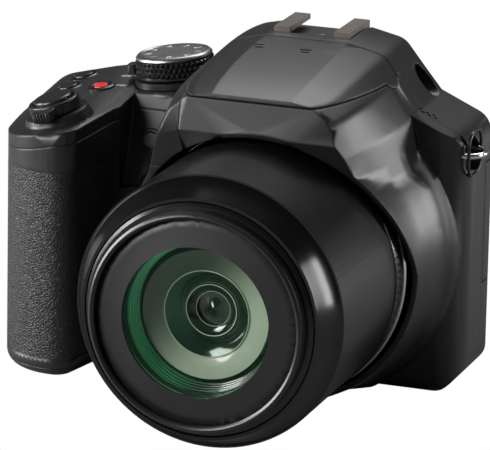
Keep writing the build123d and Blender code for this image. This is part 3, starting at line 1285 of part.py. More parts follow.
with BuildPart() as accent_ring:
    add(turned((
        (-ACCENT_FRONT, BARREL_RADIUS),
        (-ACCENT_FRONT, BARREL_RADIUS + ACCENT_HEIGHT / 2),
        (-ACCENT_FRONT + ACCENT_WIDTH / 2, BARREL_RADIUS + ACCENT_HEIGHT),
        (-ACCENT_FRONT + ACCENT_WIDTH, BARREL_RADIUS + ACCENT_HEIGHT / 2),
        (-ACCENT_FRONT + ACCENT_WIDTH, BARREL_RADIUS),
    )))
accent_ring.part.label = "accent_ring"
export_step(accent_ring.part, "parts/accent_ring.step")

with BuildPart() as lens_front_band:
    add(turned((
        (-FLARE_FRONT, FRONT_BORE),
        (-FLARE_FRONT, FRONT_BORE + FLARE_LIP),
        (-BAND_EDGE_Y - FLARE_ROUND, BAND_EDGE_RADIUS - FLARE_ROUND / 2),
        (-BAND_EDGE_Y, BAND_EDGE_RADIUS),
        (-BAND_CREST_Y, BAND_RADIUS),
        (-BAND_CREST_Y + BAND_CREST_WIDTH, BAND_RADIUS),
        (-BAND_CREST_Y + BAND_CREST_WIDTH, BAND_RADIUS - BAND_GROOVE),
        (-BAND_CREST_Y + 2 * BAND_CREST_WIDTH, BAND_RADIUS - BAND_GROOVE),
        (-BAND_CREST_Y + 2 * BAND_CREST_WIDTH, BAND_RADIUS),
        (-BAND_REAR_Y, BAND_RADIUS),
        (-BAND_REAR_Y, BARREL_RADIUS),
        (-BAND_SEAT_Y, BARREL_RADIUS),
        (-BAND_SEAT_Y, FRONT_BORE),
    )))
lens_front_band.part.label = "lens_front_band"
export_step(lens_front_band.part, "parts/lens_front_band.step")

with BuildPart() as rear_lens_holder:
    add(turned((
        (-BARREL_REAR - HOLDER_SLEEVE, BARREL_INNER - HOLDER_WALL),
        (-BARREL_REAR - HOLDER_SLEEVE, BARREL_INNER - SEAT / 2),
        (-BARREL_REAR, BARREL_INNER - SEAT / 2),
        (-BARREL_REAR, REAR_LENS_RADIUS - HOLDER_WALL),
        (-BARREL_REAR - HOLDER_WALL, REAR_LENS_RADIUS - HOLDER_WALL),
        (-BARREL_REAR - HOLDER_WALL, REAR_LENS_RADIUS),
        (-BARREL_REAR - HOLDER_SLEEVE, REAR_LENS_RADIUS),
        (-BARREL_REAR - HOLDER_SLEEVE, REAR_LENS_RADIUS + HOLDER_WALL),
        (-BARREL_REAR - HOLDER_WALL, REAR_LENS_RADIUS + HOLDER_WALL),
        (-BARREL_REAR - HOLDER_WALL, BARREL_INNER - HOLDER_WALL),
    )))
    add(box_between(
        (-SENSOR_WIDTH / 2 - HOLDER_WALL, -BARREL_REAR, LENS_AXIS_Z - SENSOR_HEIGHT / 2 - HOLDER_WALL),
        (SENSOR_WIDTH / 2 + HOLDER_WALL, BOARD_Y, LENS_AXIS_Z + SENSOR_HEIGHT / 2 + HOLDER_WALL)))
    add(box_between((-SENSOR_WIDTH / 2, -BARREL_REAR - HOLDER_WALL, LENS_AXIS_Z - SENSOR_HEIGHT / 2),
                    (SENSOR_WIDTH / 2, BOARD_Y, LENS_AXIS_Z + SENSOR_HEIGHT / 2)), mode=Mode.SUBTRACT)
rear_lens_holder.part.label = "rear_lens_holder"
export_step(rear_lens_holder.part, "parts/rear_lens_holder.step")

with BuildPart() as rear_lens:
    add(turned((
        (-BARREL_REAR - HOLDER_WALL, 0),
        (-BARREL_REAR - HOLDER_WALL, REAR_LENS_RADIUS - SEAT / 2),
        (-BARREL_REAR - HOLDER_SLEEVE, REAR_LENS_RADIUS - SEAT / 2),
        (-BARREL_REAR - HOLDER_SLEEVE - REAR_LENS_BULGE, REAR_LENS_RADIUS / 2),
        (-BARREL_REAR - HOLDER_SLEEVE - REAR_LENS_BULGE * 4 / 3, 0),
    )))
rear_lens.part.label = "rear_lens"
export_step(rear_lens.part, "parts/rear_lens.step")

# Lens: turning cam ring and the two stages that slide out
with BuildPart() as cam_ring:
    add(turned((
        (-CAM_FRONT, CAM_INNER),
        (-CAM_FRONT, BARREL_INNER - GAP),
        (-CAM_REAR, BARREL_INNER - GAP),
        (-CAM_REAR, CAM_INNER),
    )))
cam_ring.part.label = "cam_ring"
export_step(cam_ring.part, "parts/cam_ring.step")

STAGE_ONE_OUTER = FRONT_BORE - GAP
STAGE_ONE_INNER = STAGE_ONE_OUTER - STAGE_WALL
STAGE_TWO_OUTER = STAGE_ONE_INNER - GAP
STAGE_TWO_INNER = STAGE_TWO_OUTER - STAGE_WALL
with BuildPart() as zoom_barrel_one:
    add(turned((
        (-STAGE_ONE_FRONT, STAGE_ONE_INNER),
        (-STAGE_ONE_FRONT, STAGE_ONE_OUTER),
        (-STAGE_ONE_REAR - GUIDE_WIDTH, STAGE_ONE_OUTER),
        (-STAGE_ONE_REAR - GUIDE_WIDTH, CAM_INNER - GAP),
        (-STAGE_ONE_REAR, CAM_INNER - GAP),
        (-STAGE_ONE_REAR, STAGE_ONE_INNER),
    )))
zoom_barrel_one.part.label = "zoom_barrel_one"
export_step(zoom_barrel_one.part, "parts/zoom_barrel_one.step")

with BuildPart() as zoom_barrel_two:
    add(turned((
        (-LIP_FRONT, STAGE_TWO_INNER),
        (-LIP_FRONT, STAGE_ONE_OUTER - FLARE_LIP),
        (-LIP_FRONT + FLARE_LIP, STAGE_ONE_OUTER),
        (-STAGE_ONE_FRONT - GAP, STAGE_ONE_OUTER),
        (-STAGE_ONE_FRONT - GAP, STAGE_TWO_OUTER),
        (-STAGE_TWO_REAR, STAGE_TWO_OUTER),
        (-STAGE_TWO_REAR, STAGE_TWO_INNER),
    )))
zoom_barrel_two.part.label = "zoom_barrel_two"
export_step(zoom_barrel_two.part, "parts/zoom_barrel_two.step")

with BuildPart() as filter_ring:
    add(turned((
        (-LENS_FRONT, FILTER_THREAD_RADIUS + FILTER_BEVEL),
        (-LENS_FRONT, FILTER_RING_RADIUS - FILTER_BEVEL),
        (-LENS_FRONT + FILTER_BEVEL, FILTER_RING_RADIUS),
        (-LIP_FRONT, FILTER_RING_RADIUS),
        (-LIP_FRONT, FILTER_THREAD_RADIUS),
        (-LENS_FRONT + FILTER_BEVEL, FILTER_THREAD_RADIUS),
    )))
filter_ring.part.label = "filter_ring"
export_step(filter_ring.part, "parts/filter_ring.step")

with BuildPart() as name_plate:
    add(turned((
        (-PLATE_RIM_Y, FILTER_THREAD_RADIUS - SEAT),
        (-PLATE_INNER_Y, FRONT_GLASS_RADIUS + SEAT),
        (-LIP_FRONT + GLASS_SEAT, FRONT_GLASS_RADIUS + SEAT),
        (-LIP_FRONT + GLASS_SEAT, STAGE_TWO_INNER - SEAT / 2),
        (-LIP_FRONT, STAGE_TWO_INNER - SEAT / 2),
        (-LIP_FRONT, FILTER_THREAD_RADIUS - SEAT),
    )))
name_plate.part.label = "name_plate"
export_step(name_plate.part, "parts/name_plate.step")

def ball(crown_y, bulge):
    """The ball whose cap, front_glass wide and bulge high, has its crown at crown_y on the lens axis."""
    radius = (FRONT_GLASS_RADIUS ** 2 + bulge ** 2) / (2 * bulge)
    with BuildPart() as body:
        with Locations((0, crown_y + radius, LENS_AXIS_Z)):
            Sphere(radius)
    return body.part


with BuildPart() as front_glass:
    add(turned((
        (-LENS_FRONT, 0),
        (-LENS_FRONT, FRONT_GLASS_RADIUS),
        (-LIP_FRONT + GLASS_SEAT, FRONT_GLASS_RADIUS),
        (-LIP_FRONT + GLASS_SEAT, 0),
    )))
    add(ball(-GLASS_CROWN_Y, GLASS_CROWN_Y - GLASS_RIM_Y), mode=Mode.INTERSECT)
    add(ball(-LIP_FRONT + GLASS_SEAT - GLASS_HOLLOW, GLASS_HOLLOW), mode=Mode.SUBTRACT)
front_glass.part.label = "front_glass"
export_step(front_glass.part, "parts/front_glass.step")

# Mode dial, its cap and the power lever under it
with BuildPart() as mode_dial:
    add(disc(dial_plane, DIAL_RADIUS, DIAL_BASE, DIAL_TOP - DIAL_BEVEL))
    with BuildSketch(dial_plane.offset(DIAL_TOP - DIAL_BEVEL)):
        Circle(DIAL_RADIUS)
    extrude(amount=DIAL_BEVEL, taper=DIAL_BEVEL_TAPER)
    with BuildSketch(dial_plane.offset(DIAL_BASE + DIAL_SKIRT)):
        with PolarLocations(DIAL_RADIUS, DIAL_NOTCHES):
            RegularPolygon(DIAL_NOTCH, 4)
    extrude(amount=DIAL_TOP - DIAL_BEVEL - DIAL_BASE - DIAL_SKIRT, mode=Mode.SUBTRACT)
    add(disc(dial_plane, DIAL_CAP_RADIUS, DIAL_TOP - DIAL_CAP_THICKNESS, OVERRUN), mode=Mode.SUBTRACT)
    add(disc(dial_plane, DIAL_POST_RADIUS + RUNNING, -OVERRUN, OVERRUN), mode=Mode.SUBTRACT)
mode_dial.part.label = "mode_dial"
export_step(mode_dial.part, "parts/mode_dial.step")

with BuildPart() as mode_dial_cap:
    add(disc(dial_plane, DIAL_CAP_RADIUS - SEAT / 2, DIAL_TOP - DIAL_CAP_THICKNESS, DIAL_TOP))
mode_dial_cap.part.label = "mode_dial_cap"
export_step(mode_dial_cap.part, "parts/mode_dial_cap.step")

with BuildPart() as power_lever:
    add(disc(dial_plane, LEVER_RADIUS, GAP, GAP + LEVER_THICKNESS))
    with BuildSketch(dial_plane.offset(LEVER_TAB_BOTTOM)):
        with Locations((-(LEVER_TAB_REACH + DIAL_RADIUS + GAP) / 2, 0)):
            RectangleRounded(LEVER_TAB_REACH - DIAL_RADIUS - GAP, LEVER_TAB_WIDTH, LEVER_TAB_CORNER)
    extrude(amount=LEVER_TAB_TOP - LEVER_TAB_BOTTOM)
    with BuildSketch(dial_plane.offset(GAP)):
        with Locations((-(LEVER_RADIUS + DIAL_RADIUS + GAP) / 2, 0)):
            Rectangle(LEVER_RADIUS - DIAL_RADIUS - GAP, LEVER_TAB_WIDTH - 2 * LEVER_TAB_CORNER)
    extrude(amount=LEVER_TAB_TOP - GAP)
    add(disc(dial_plane, DIAL_POST_RADIUS + RUNNING, -OVERRUN, OVERRUN), mode=Mode.SUBTRACT)
    add(disc(dial_plane, DIAL_RADIUS + GAP, DIAL_BASE - GAP, OVERRUN), mode=Mode.SUBTRACT)
power_lever.part.label = "power_lever"
export_step(power_lever.part, "parts/power_lever.step")

# Shutter button inside the zoom lever
with BuildPart() as zoom_lever:
    add(disc(shutter_plane, ZOOM_RING_RADIUS, GAP, GAP + ZOOM_RING_HEIGHT))
    top_face = zoom_lever.faces().sort_by(Axis(shutter_plane.origin, shutter_plane.z_dir))[-1]
    fillet(top_face.edges(), BUTTON_CROWN)
    with BuildSketch(shutter_plane.offset(GAP)):
        with Locations((0, -ZOOM_TAB_REACH / 2)):
            RectangleRounded(ZOOM_TAB_WIDTH, ZOOM_TAB_REACH, ZOOM_TAB_CORNER)
    extrude(amount=ZOOM_RING_HEIGHT - BUTTON_CROWN)
    add(disc(shutter_plane, SHUTTER_BUTTON_RADIUS + GAP, -OVERRUN, OVERRUN), mode=Mode.SUBTRACT)
    with BuildSketch(shutter_plane.offset(GAP)):
        with Locations((0, -ZOOM_TAB_REACH)):
            with GridLocations(ZOOM_TAB_WIDTH / ZOOM_TAB_RIBS, 0, ZOOM_TAB_RIBS - 1, 1):
                Circle(ZOOM_TAB_NOTCH)
    extrude(amount=ZOOM_RING_HEIGHT, mode=Mode.SUBTRACT)
zoom_lever.part.label = "zoom_lever"
export_step(zoom_lever.part, "parts/zoom_lever.step")

with BuildPart() as shutter_button:
    add(disc(shutter_plane, SHUTTER_BUTTON_RADIUS, -SHUTTER_STEM, GAP + ZOOM_RING_HEIGHT + SHUTTER_PROUD))
    fillet(shutter_button.faces().sort_by(Axis(shutter_plane.origin, shutter_plane.z_dir))[-1].edges(),
           SHUTTER_CROWN)
shutter_button.part.label = "shutter_button"
export_step(shutter_button.part, "parts/shutter_button.step")

# Hot shoe
shoe_top = SHOE_FLOOR_Z + SHOE_BASE_THICKNESS
with BuildPart() as shoe_base:
    add(box_between((HUMP_X - SHOE_HALF_WIDTH, -SHOE_FRONT, SHOE_FLOOR_Z),
                    (HUMP_X + SHOE_HALF_WIDTH, BODY_REAR, shoe_top)))
shoe_base.part.label = "shoe_base"
export_step(shoe_base.part, "parts/shoe_base.step")

with BuildPart() as shoe_rails:
    for turn in (1, -1):
        with BuildSketch(Plane.XZ.offset(SHOE_FRONT)):
            with BuildLine():
                Polyline(
                    (HUMP_X + turn * SHOE_CHANNEL / 2, shoe_top),
                    (HUMP_X + turn * (SHOE_CHANNEL / 2 + RAIL_WALL), shoe_top),
                    (HUMP_X + turn * (SHOE_CHANNEL / 2 + RAIL_WALL), shoe_top + SHOE_SLOT_HEIGHT + RAIL_LIP),
                    (HUMP_X + turn * SHOE_THROAT / 2, shoe_top + SHOE_SLOT_HEIGHT + RAIL_LIP),
                    (HUMP_X + turn * SHOE_THROAT / 2, shoe_top + SHOE_SLOT_HEIGHT),
                    (HUMP_X + turn * SHOE_CHANNEL / 2, shoe_top + SHOE_SLOT_HEIGHT),
                    close=True,
                )
            make_face()
        extrude(amount=-RAIL_LENGTH)
shoe_rails.part.label = "shoe_rails"
export_step(shoe_rails.part, "parts/shoe_rails.step")

with BuildPart() as shoe_contacts:
    for x_share, y_share in contact_place_shares:
        with BuildSketch(Plane.XY.offset(shoe_top)):
            with Locations((HUMP_X + x_share * SHOE_THROAT, -SHOE_FRONT + y_share * RAIL_LENGTH)):
                Circle(CONTACT_RADIUS)
        extrude(amount=CONTACT_HEIGHT)
shoe_contacts.part.label = "shoe_contacts"
export_step(shoe_contacts.part, "parts/shoe_contacts.step")
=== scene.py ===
"""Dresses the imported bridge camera: finishes, lens cells, dial marks, small trim, stage and camera."""
import json
import math

import bmesh
import bpy
from bpy.props import FloatProperty, FloatVectorProperty, IntProperty, PointerProperty
from mathutils import Matrix, Vector
from mathutils.bvhtree import BVHTree


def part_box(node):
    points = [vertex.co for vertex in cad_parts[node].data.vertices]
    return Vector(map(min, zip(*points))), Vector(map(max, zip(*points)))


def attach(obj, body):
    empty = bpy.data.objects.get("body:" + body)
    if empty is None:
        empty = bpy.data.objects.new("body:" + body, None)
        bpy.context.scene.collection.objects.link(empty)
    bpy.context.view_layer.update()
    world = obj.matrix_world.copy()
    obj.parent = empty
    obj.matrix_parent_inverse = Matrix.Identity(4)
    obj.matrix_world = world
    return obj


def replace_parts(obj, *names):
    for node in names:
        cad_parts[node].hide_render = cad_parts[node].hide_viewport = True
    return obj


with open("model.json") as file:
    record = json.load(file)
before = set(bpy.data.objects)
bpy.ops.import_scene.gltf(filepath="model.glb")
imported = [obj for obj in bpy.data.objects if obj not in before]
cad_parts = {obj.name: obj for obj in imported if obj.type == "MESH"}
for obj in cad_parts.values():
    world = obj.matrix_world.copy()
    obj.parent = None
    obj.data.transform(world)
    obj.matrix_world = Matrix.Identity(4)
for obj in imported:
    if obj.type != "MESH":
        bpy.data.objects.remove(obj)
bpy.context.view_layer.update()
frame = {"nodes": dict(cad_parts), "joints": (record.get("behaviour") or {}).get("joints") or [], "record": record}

bl_info = {
    "name": "Bridge camera dressing",
    "version": (1, 0, 0),
    "blender": (4, 5, 0),
    "location": "3D View > Sidebar > Camera",
    "description": "Finishes and trims a bridge camera round its fixed frame",
    "category": "Object",
}

MM = 0.001
WELD = 0.002 * MM               # CAD points closer than this are one
HAIR = 0.001 * MM               # a length that counts as none
PRINT_RISE = 0.02 * MM          # how far print stands over what carries it
AXIS_HEIGHT = (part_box("name_plate")[0].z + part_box("name_plate")[1].z) / 2
NODE_BODY = {node: body for body, nodes in frame["record"]["behaviour"]["bodies"].items() for node in nodes}
MOUNTS = {mount["name"]: mount for mount in frame["record"]["mounts"]}
JOINTS = {joint["name"]: joint for joint in frame["joints"]}
EYE = Vector((407.0, -1204.9, 408.5)) * MM          # where the viewing camera stands
TARGET = Vector((-1.538, -55.0, 53.068)) * MM       # what it is aimed at
SENSOR = 36.0                   # its sensor's width in millimetres
PICTURE = (490, 450)            # the picture in which the marks' pixels are read
RUN_ORDER = []


def operator(cls):
    """Keeps the operators in the order in which main calls them."""
    RUN_ORDER.append(cls)
    return cls


def facing(origin, normal, ahead=(0, 1, 0)):
    """A matrix at origin with Z along normal and Y as near to ahead as it goes."""
    up = Vector(normal).normalized()
    side = Vector(ahead).cross(up).normalized()
    turned = Matrix((side, up.cross(side), up)).transposed().to_4x4()
    return Matrix.Translation(Vector(origin)) @ turned


LENS_PLACE = facing((0, 0, AXIS_HEIGHT), (0, 1, 0), (0, 0, 1))


def joint_place(name):
    """A matrix at a turning joint, with Z along its axis."""
    joint = JOINTS[name]
    return facing(joint["pos_m"], joint["axis"])


# Node trees

def feed(tree, socket, value):
    """Links a socket to another one, or gives it a plain value."""
    if isinstance(value, bpy.types.NodeSocket):
        tree.links.new(value, socket)
    else:
        socket.default_value = value


def add_node(tree, kind, **values):
    """Adds a node and sets its properties and inputs by name, each input by a value or a socket."""
    made = tree.nodes.new(kind)
    for key, value in values.items():
        if hasattr(made, key):
            setattr(made, key, value)
        else:
            feed(tree, made.inputs[key.replace("_", " ")], value)
    return made


def reckon(tree, operation, *values):
    """The result of a Math node over numbers or sockets."""
    made = add_node(tree, "ShaderNodeMath", operation=operation)
    for socket, value in zip(made.inputs, values):
        feed(tree, socket, value)
    return made.outputs["Value"]


# Meshes

def mesh_from(grid, name):
    """A named mesh from a bmesh, which is freed."""
    mesh = bpy.data.meshes.new(name)
    grid.to_mesh(mesh)
    grid.free()
    return mesh


def evaluated_mesh(piece):
    """What a piece's text or modifiers give, as a plain mesh."""
    graph = bpy.context.evaluated_depsgraph_get()
    return bpy.data.meshes.new_from_object(piece.evaluated_get(graph))


def show_mesh(name, mesh, material, smooth_angle=40):
    """Puts a mesh in the scene with smooth shading between its sharp edges."""
    piece = bpy.data.objects.new(name, mesh)
    bpy.context.scene.collection.objects.link(piece)
    mesh.materials.clear()
    mesh.materials.append(material)
    mesh.polygons.foreach_set("use_smooth", [True] * len(mesh.polygons))
    mesh.set_sharp_from_angle(angle=math.radians(smooth_angle))
    return piece


def new_piece(name, mesh, material, body, smooth_angle=40):
    """A mesh in the scene as a piece that rides on a body."""
    piece = show_mesh(name, mesh, material, smooth_angle)
    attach(piece, body)
    return piece


def paint(node, material):
    """Gives a CAD node's own mesh its finish."""
    mesh = frame["nodes"][node].data
    mesh.materials.clear()
    mesh.materials.append(material)


def dress(node, material, smooth_angle=32):
    """Gives a CAD node its finish and shows a joined, smoothly shaded copy of it."""
    grid = bmesh.new()
    grid.from_mesh(frame["nodes"][node].data)
    bmesh.ops.remove_doubles(grid, verts=grid.verts, dist=WELD)
    bmesh.ops.dissolve_degenerate(grid, edges=grid.edges, dist=HAIR)
    name = node + "_smooth"
    piece = show_mesh(name, mesh_from(grid, name), material, smooth_angle)
    piece.modifiers.new("weighted", "WEIGHTED_NORMAL").keep_sharp = True
    mesh = evaluated_mesh(piece)
    piece.modifiers.clear()
    piece.data = mesh
    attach(piece, NODE_BODY[node])
    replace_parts(piece, node)
    paint(node, material)


def skin(grid, rings):
    """Joins rings of as many points each into a closed skin, the last ring to the first."""
    for one, two in zip(rings, rings[1:] + rings[:1]):
        for step in range(len(one)):
            after = (step + 1) % len(one)
            grid.faces.new((one[step], one[after], two[after], two[step]))


def lathe(name, profile, place=LENS_PLACE, segments=144):
    """A mesh turned about a place's Z axis from a closed run of (along, radius) points in millimetres."""
    grid = bmesh.new()
    rings = []
    for along, radius in profile:
        ring = []
        for step in range(segments):
            angle = 2 * math.pi * step / segments
            spot = Vector((radius * math.cos(angle), radius * math.sin(angle), along)) * MM
            ring.append(grid.verts.new(place @ spot))
        rings.append(ring)
    skin(grid, rings)
    bmesh.ops.remove_doubles(grid, verts=grid.verts, dist=HAIR)
    bmesh.ops.recalc_face_normals(grid, faces=grid.faces)
    return mesh_from(grid, name)


def arc(start, end, bulge, steps=10):
    """Points from start to end in a plane, bowed sideways by bulge."""
    a, b = Vector(start), Vector(end)
    side = Vector((b.y - a.y, a.x - b.x)).normalized()
    points = []
    for step in range(steps + 1):
        share = step / steps
        points.append(a.lerp(b, share) + side * bulge * 4 * share * (1 - share))
    return [tuple(point) for point in points]


def moved(profile, shift):
    """A profile's points, moved along its axis."""
    return [(along + shift, radius) for along, radius in profile]


def rounded_loop(width, height, corner, steps=8):
    """Points round a rectangle with round corners."""
    points = []
    for turn, (x, y) in enumerate(((1, 1), (-1, 1), (-1, -1), (1, -1))):
        for step in range(steps + 1):
            angle = math.pi / 2 * (turn + step / steps)
            points.append((x * (width / 2 - corner) + corner * math.cos(angle),
                           y * (height / 2 - corner) + corner * math.sin(angle)))
    return points


def loop_tube(name, place, points, radius, sides=10):
    """A closed round bead along (x, y) points in millimetres on a place's plane."""
    grid = bmesh.new()
    rings = []
    for index, (x, y) in enumerate(points):
        before, after = Vector(points[index - 1]), Vector(points[(index + 1) % len(points)])
        along = (after - before).normalized()
        out = Vector((along.y, -along.x))
        ring = []
        for step in range(sides):
            angle = 2 * math.pi * step / sides
            spot = Vector((x, y)) + out * radius * math.cos(angle)
            ring.append(grid.verts.new(place @ (Vector((spot.x, spot.y, radius * math.sin(angle))) * MM)))
        rings.append(ring)
    skin(grid, rings)
    bmesh.ops.recalc_face_normals(grid, faces=grid.faces)
    return mesh_from(grid, name)


# The corners of each face of a bar
BOX_FACES = ((0, 1, 2, 3), (4, 5, 6, 7), (0, 1, 5, 4), (1, 2, 6, 5), (2, 3, 7, 6), (3, 0, 4, 7))


def bars(name, strips):
    """Flat bars from (start, end, normal, width, rise) in metres, each sunk as far as it rises."""
    grid = bmesh.new()
    for start, end, normal, width, rise in strips:
        along = (end - start).normalized()
        side = along.cross(normal).normalized() * width / 2
        lift = normal.normalized() * rise
        corners = [spot + shift + level for level in (-lift, lift) for spot, shift in
                   ((start, -side), (end, -side), (end, side), (start, side))]
        verts = [grid.verts.new(corner) for corner in corners]
        for face in BOX_FACES:
            grid.faces.new([verts[index] for index in face])
    bmesh.ops.recalc_face_normals(grid, faces=grid.faces)
    return mesh_from(grid, name)


def lettering(name, prints, size):
    """One mesh of short prints from (text, place) pairs, each raised a hair over its plane."""
    grid = bmesh.new()
    for text, place in prints:
        curve = bpy.data.curves.new(name, "FONT")
        curve.body = text
        curve.size = size
        curve.extrude = PRINT_RISE
        curve.align_x = "CENTER"
        curve.align_y = "CENTER"
        curve.resolution_u = 4
        carrier = bpy.data.objects.new(name, curve)
        bpy.context.scene.collection.objects.link(carrier)
        mesh = evaluated_mesh(carrier)
        mesh.transform(place)
        grid.from_mesh(mesh)
        bpy.data.objects.remove(carrier)
        bpy.data.meshes.remove(mesh)
        bpy.data.curves.remove(curve)
    return mesh_from(grid, name)


# The sizes that a knurl's tree takes as inputs, in metres but for the count
KNURL_SIZES = {"Radius": "NodeSocketFloat", "Studs": "NodeSocketInt", "Stud width": "NodeSocketFloat",
               "Stud depth": "NodeSocketFloat", "First row": "NodeSocketFloat", "Row gap": "NodeSocketFloat"}
STUD_TOP_SHARE = 0.12           # a stud's top radius, as a share of its width


def knurl_tree(name, rows, material):
    """A Geometry Nodes tree of rows of small pyramids round a drum, every second row half a pitch on."""
    tree = bpy.data.node_groups.new(name, "GeometryNodeTree")
    tree.interface.new_socket("Geometry", in_out="OUTPUT", socket_type="NodeSocketGeometry")
    for key, kind in KNURL_SIZES.items():
        tree.interface.new_socket(key, in_out="INPUT", socket_type=kind)
    sizes = tree.nodes.new("NodeGroupInput").outputs
    width = sizes["Stud width"]
    stud = add_node(tree, "GeometryNodeMeshCone", Vertices=4, Depth=sizes["Stud depth"],
                    Radius_Top=reckon(tree, "MULTIPLY", width, STUD_TOP_SHARE),
                    Radius_Bottom=reckon(tree, "DIVIDE", width, math.sqrt(2)))
    square = add_node(tree, "GeometryNodeTransform", Geometry=stud.outputs["Mesh"],
                      Rotation=(0, 0, math.pi / 4))
    pitch = reckon(tree, "DIVIDE", 2 * math.pi, sizes["Studs"])
    number = tree.nodes.new("GeometryNodeInputIndex").outputs["Index"]
    join = tree.nodes.new("GeometryNodeJoinGeometry")
    for row in range(rows):
        turn = reckon(tree, "MULTIPLY", pitch, row % 2 / 2)
        height = reckon(tree, "MULTIPLY_ADD", row, sizes["Row gap"], sizes["First row"])
        ring = add_node(tree, "GeometryNodeMeshCircle", Vertices=sizes["Studs"], Radius=sizes["Radius"])
        lift = add_node(tree, "GeometryNodeTransform", Geometry=ring.outputs["Mesh"],
                        Translation=add_node(tree, "ShaderNodeCombineXYZ", Z=height).outputs["Vector"],
                        Rotation=add_node(tree, "ShaderNodeCombineXYZ", Z=turn).outputs["Vector"])
        angle = reckon(tree, "MULTIPLY_ADD", number, pitch, turn)
        outwards = add_node(tree, "ShaderNodeCombineXYZ", Y=math.pi / 2, Z=angle)
        spread = add_node(tree, "GeometryNodeInstanceOnPoints", Points=lift.outputs["Geometry"],
                          Instance=square.outputs["Geometry"], Rotation=outwards.outputs["Vector"])
        tree.links.new(spread.outputs["Instances"], join.inputs["Geometry"])
    real = add_node(tree, "GeometryNodeRealizeInstances", Geometry=join.outputs["Geometry"])
    finish = add_node(tree, "GeometryNodeSetMaterial", Geometry=real.outputs["Geometry"], Material=material)
    tree.links.new(finish.outputs["Geometry"], tree.nodes.new("NodeGroupOutput").inputs["Geometry"])
    return tree


def knurl(name, place, rows, sizes, material):
    """A plain mesh of a knurl at a place, with its tree's sizes by name."""
    tree = knurl_tree(name, rows, material)
    carrier = bpy.data.objects.new(name, bpy.data.meshes.new(name))
    bpy.context.scene.collection.objects.link(carrier)
    modifier = carrier.modifiers.new("knurl", "NODES")
    modifier.node_group = tree
    for item in tree.interface.items_tree:
        if item.in_out == "INPUT":
            modifier[item.identifier] = sizes[item.name]
    mesh = evaluated_mesh(carrier)
    mesh.transform(place)
    bpy.data.objects.remove(carrier)
    if not len(mesh.polygons):
        raise ValueError("the knurl came out empty")
    return mesh


# Places on the CAD

def tree_of(nodes):
    """A search tree over the faces of some CAD nodes."""
    verts, faces = [], []
    for node in nodes:
        mesh = frame["nodes"][node].data
        start = len(verts)
        verts += [vertex.co.copy() for vertex in mesh.vertices]
        faces += [[start + index for index in face.vertices] for face in mesh.polygons]
    return BVHTree.FromPolygons(verts, faces)


def view_axes(look):
    """Right, up and forward of the viewing camera."""
    forward = (TARGET - EYE).normalized()
    level = forward.cross(Vector((0, 0, 1))).normalized()
    upright = level.cross(forward)
    right = level * math.cos(look.roll) + upright * math.sin(look.roll)
    up = upright * math.cos(look.roll) - level * math.sin(look.roll)
    return right, up, forward


def met(tree, start, ray):
    """Where a ray meets a search tree, and the face's normal there."""
    spot, normal = tree.ray_cast(start, ray.normalized())[:2]
    if spot is None:
        raise ValueError("a ray from %s meets no piece" % (start,))
    return spot, normal


def at_pixel(look, tree, pixel):
    """Where the ray through a pixel of the picture meets the CAD, and the face's normal there."""
    right, up, forward = view_axes(look)
    span = SENSOR / look.focal_length / PICTURE[0]
    across, down = pixel[0] - PICTURE[0] / 2, pixel[1] - PICTURE[1] / 2
    return met(tree, EYE, forward + right * across * span - up * down * span)


def face_seen(node):
    """The spot and the normal of a CAD node's face where the camera looks at its middle."""
    low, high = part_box(node)
    return met(tree_of([node]), EYE, (low + high) / 2 - EYE)


def from_above(tree, x, y):
    """The top of the CAD at x, y in millimetres, and the face's normal there."""
    return met(tree, Vector((x * MM, y * MM, 1.0)), Vector((0, 0, -1)))


# Materials

MIX_SOCKETS = {"VECTOR": (4, 5, 1), "RGBA": (6, 7, 2)}     # the Mix node's A, B and Result for each kind


def blend(tree, kind, share, one, two):
    """Two vectors or colours mixed by a share, each a value or a socket."""
    first, second, result = MIX_SOCKETS[kind]
    mix = add_node(tree, "ShaderNodeMix", data_type=kind, Factor=share)
    feed(tree, mix.inputs[first], one)
    feed(tree, mix.inputs[second], two)
    return mix.outputs[result]


def mix_shaders(tree, share, one, two):
    """Two nodes' shaders mixed by a share, as a node."""
    mix = add_node(tree, "ShaderNodeMixShader", Fac=share)
    tree.links.new(one.outputs[0], mix.inputs[1])
    tree.links.new(two.outputs[0], mix.inputs[2])
    return mix


def base_material(name, colour, roughness, metallic=0.0, **sockets):
    """A material with its tree, its Principled shader and its Object coordinates."""
    material = bpy.data.materials.new(name)
    material.use_nodes = True
    tree = material.node_tree
    shader = tree.nodes["Principled BSDF"]
    sockets.update(Base_Color=(*colour, 1), Roughness=roughness, Metallic=metallic)
    for key, value in sockets.items():
        shader.inputs[key.replace("_", " ")].default_value = value
    return material, tree, shader, tree.nodes.new("ShaderNodeTexCoord").outputs["Object"]


def add_tone(tree, shader, place, colour, spread, scale):
    """Lets the colour and the roughness drift a little over the surface."""
    noise = add_node(tree, "ShaderNodeTexNoise", Vector=place, Scale=scale, Detail=3.0)
    ramp = add_node(tree, "ShaderNodeValToRGB", Fac=noise.outputs["Fac"])
    low, high = ramp.color_ramp.elements
    low.position, high.position = 0.3, 0.7
    low.color = (*[channel * (1 - spread) for channel in colour], 1)
    high.color = (*[channel * (1 + spread) for channel in colour], 1)
    roughness = shader.inputs["Roughness"].default_value
    drift = add_node(tree, "ShaderNodeMapRange", Value=noise.outputs["Fac"],
                     To_Min=roughness * (1 - spread / 2), To_Max=roughness * (1 + spread / 2))
    tree.links.new(ramp.outputs["Color"], shader.inputs["Base Color"])
    tree.links.new(drift.outputs["Result"], shader.inputs["Roughness"])


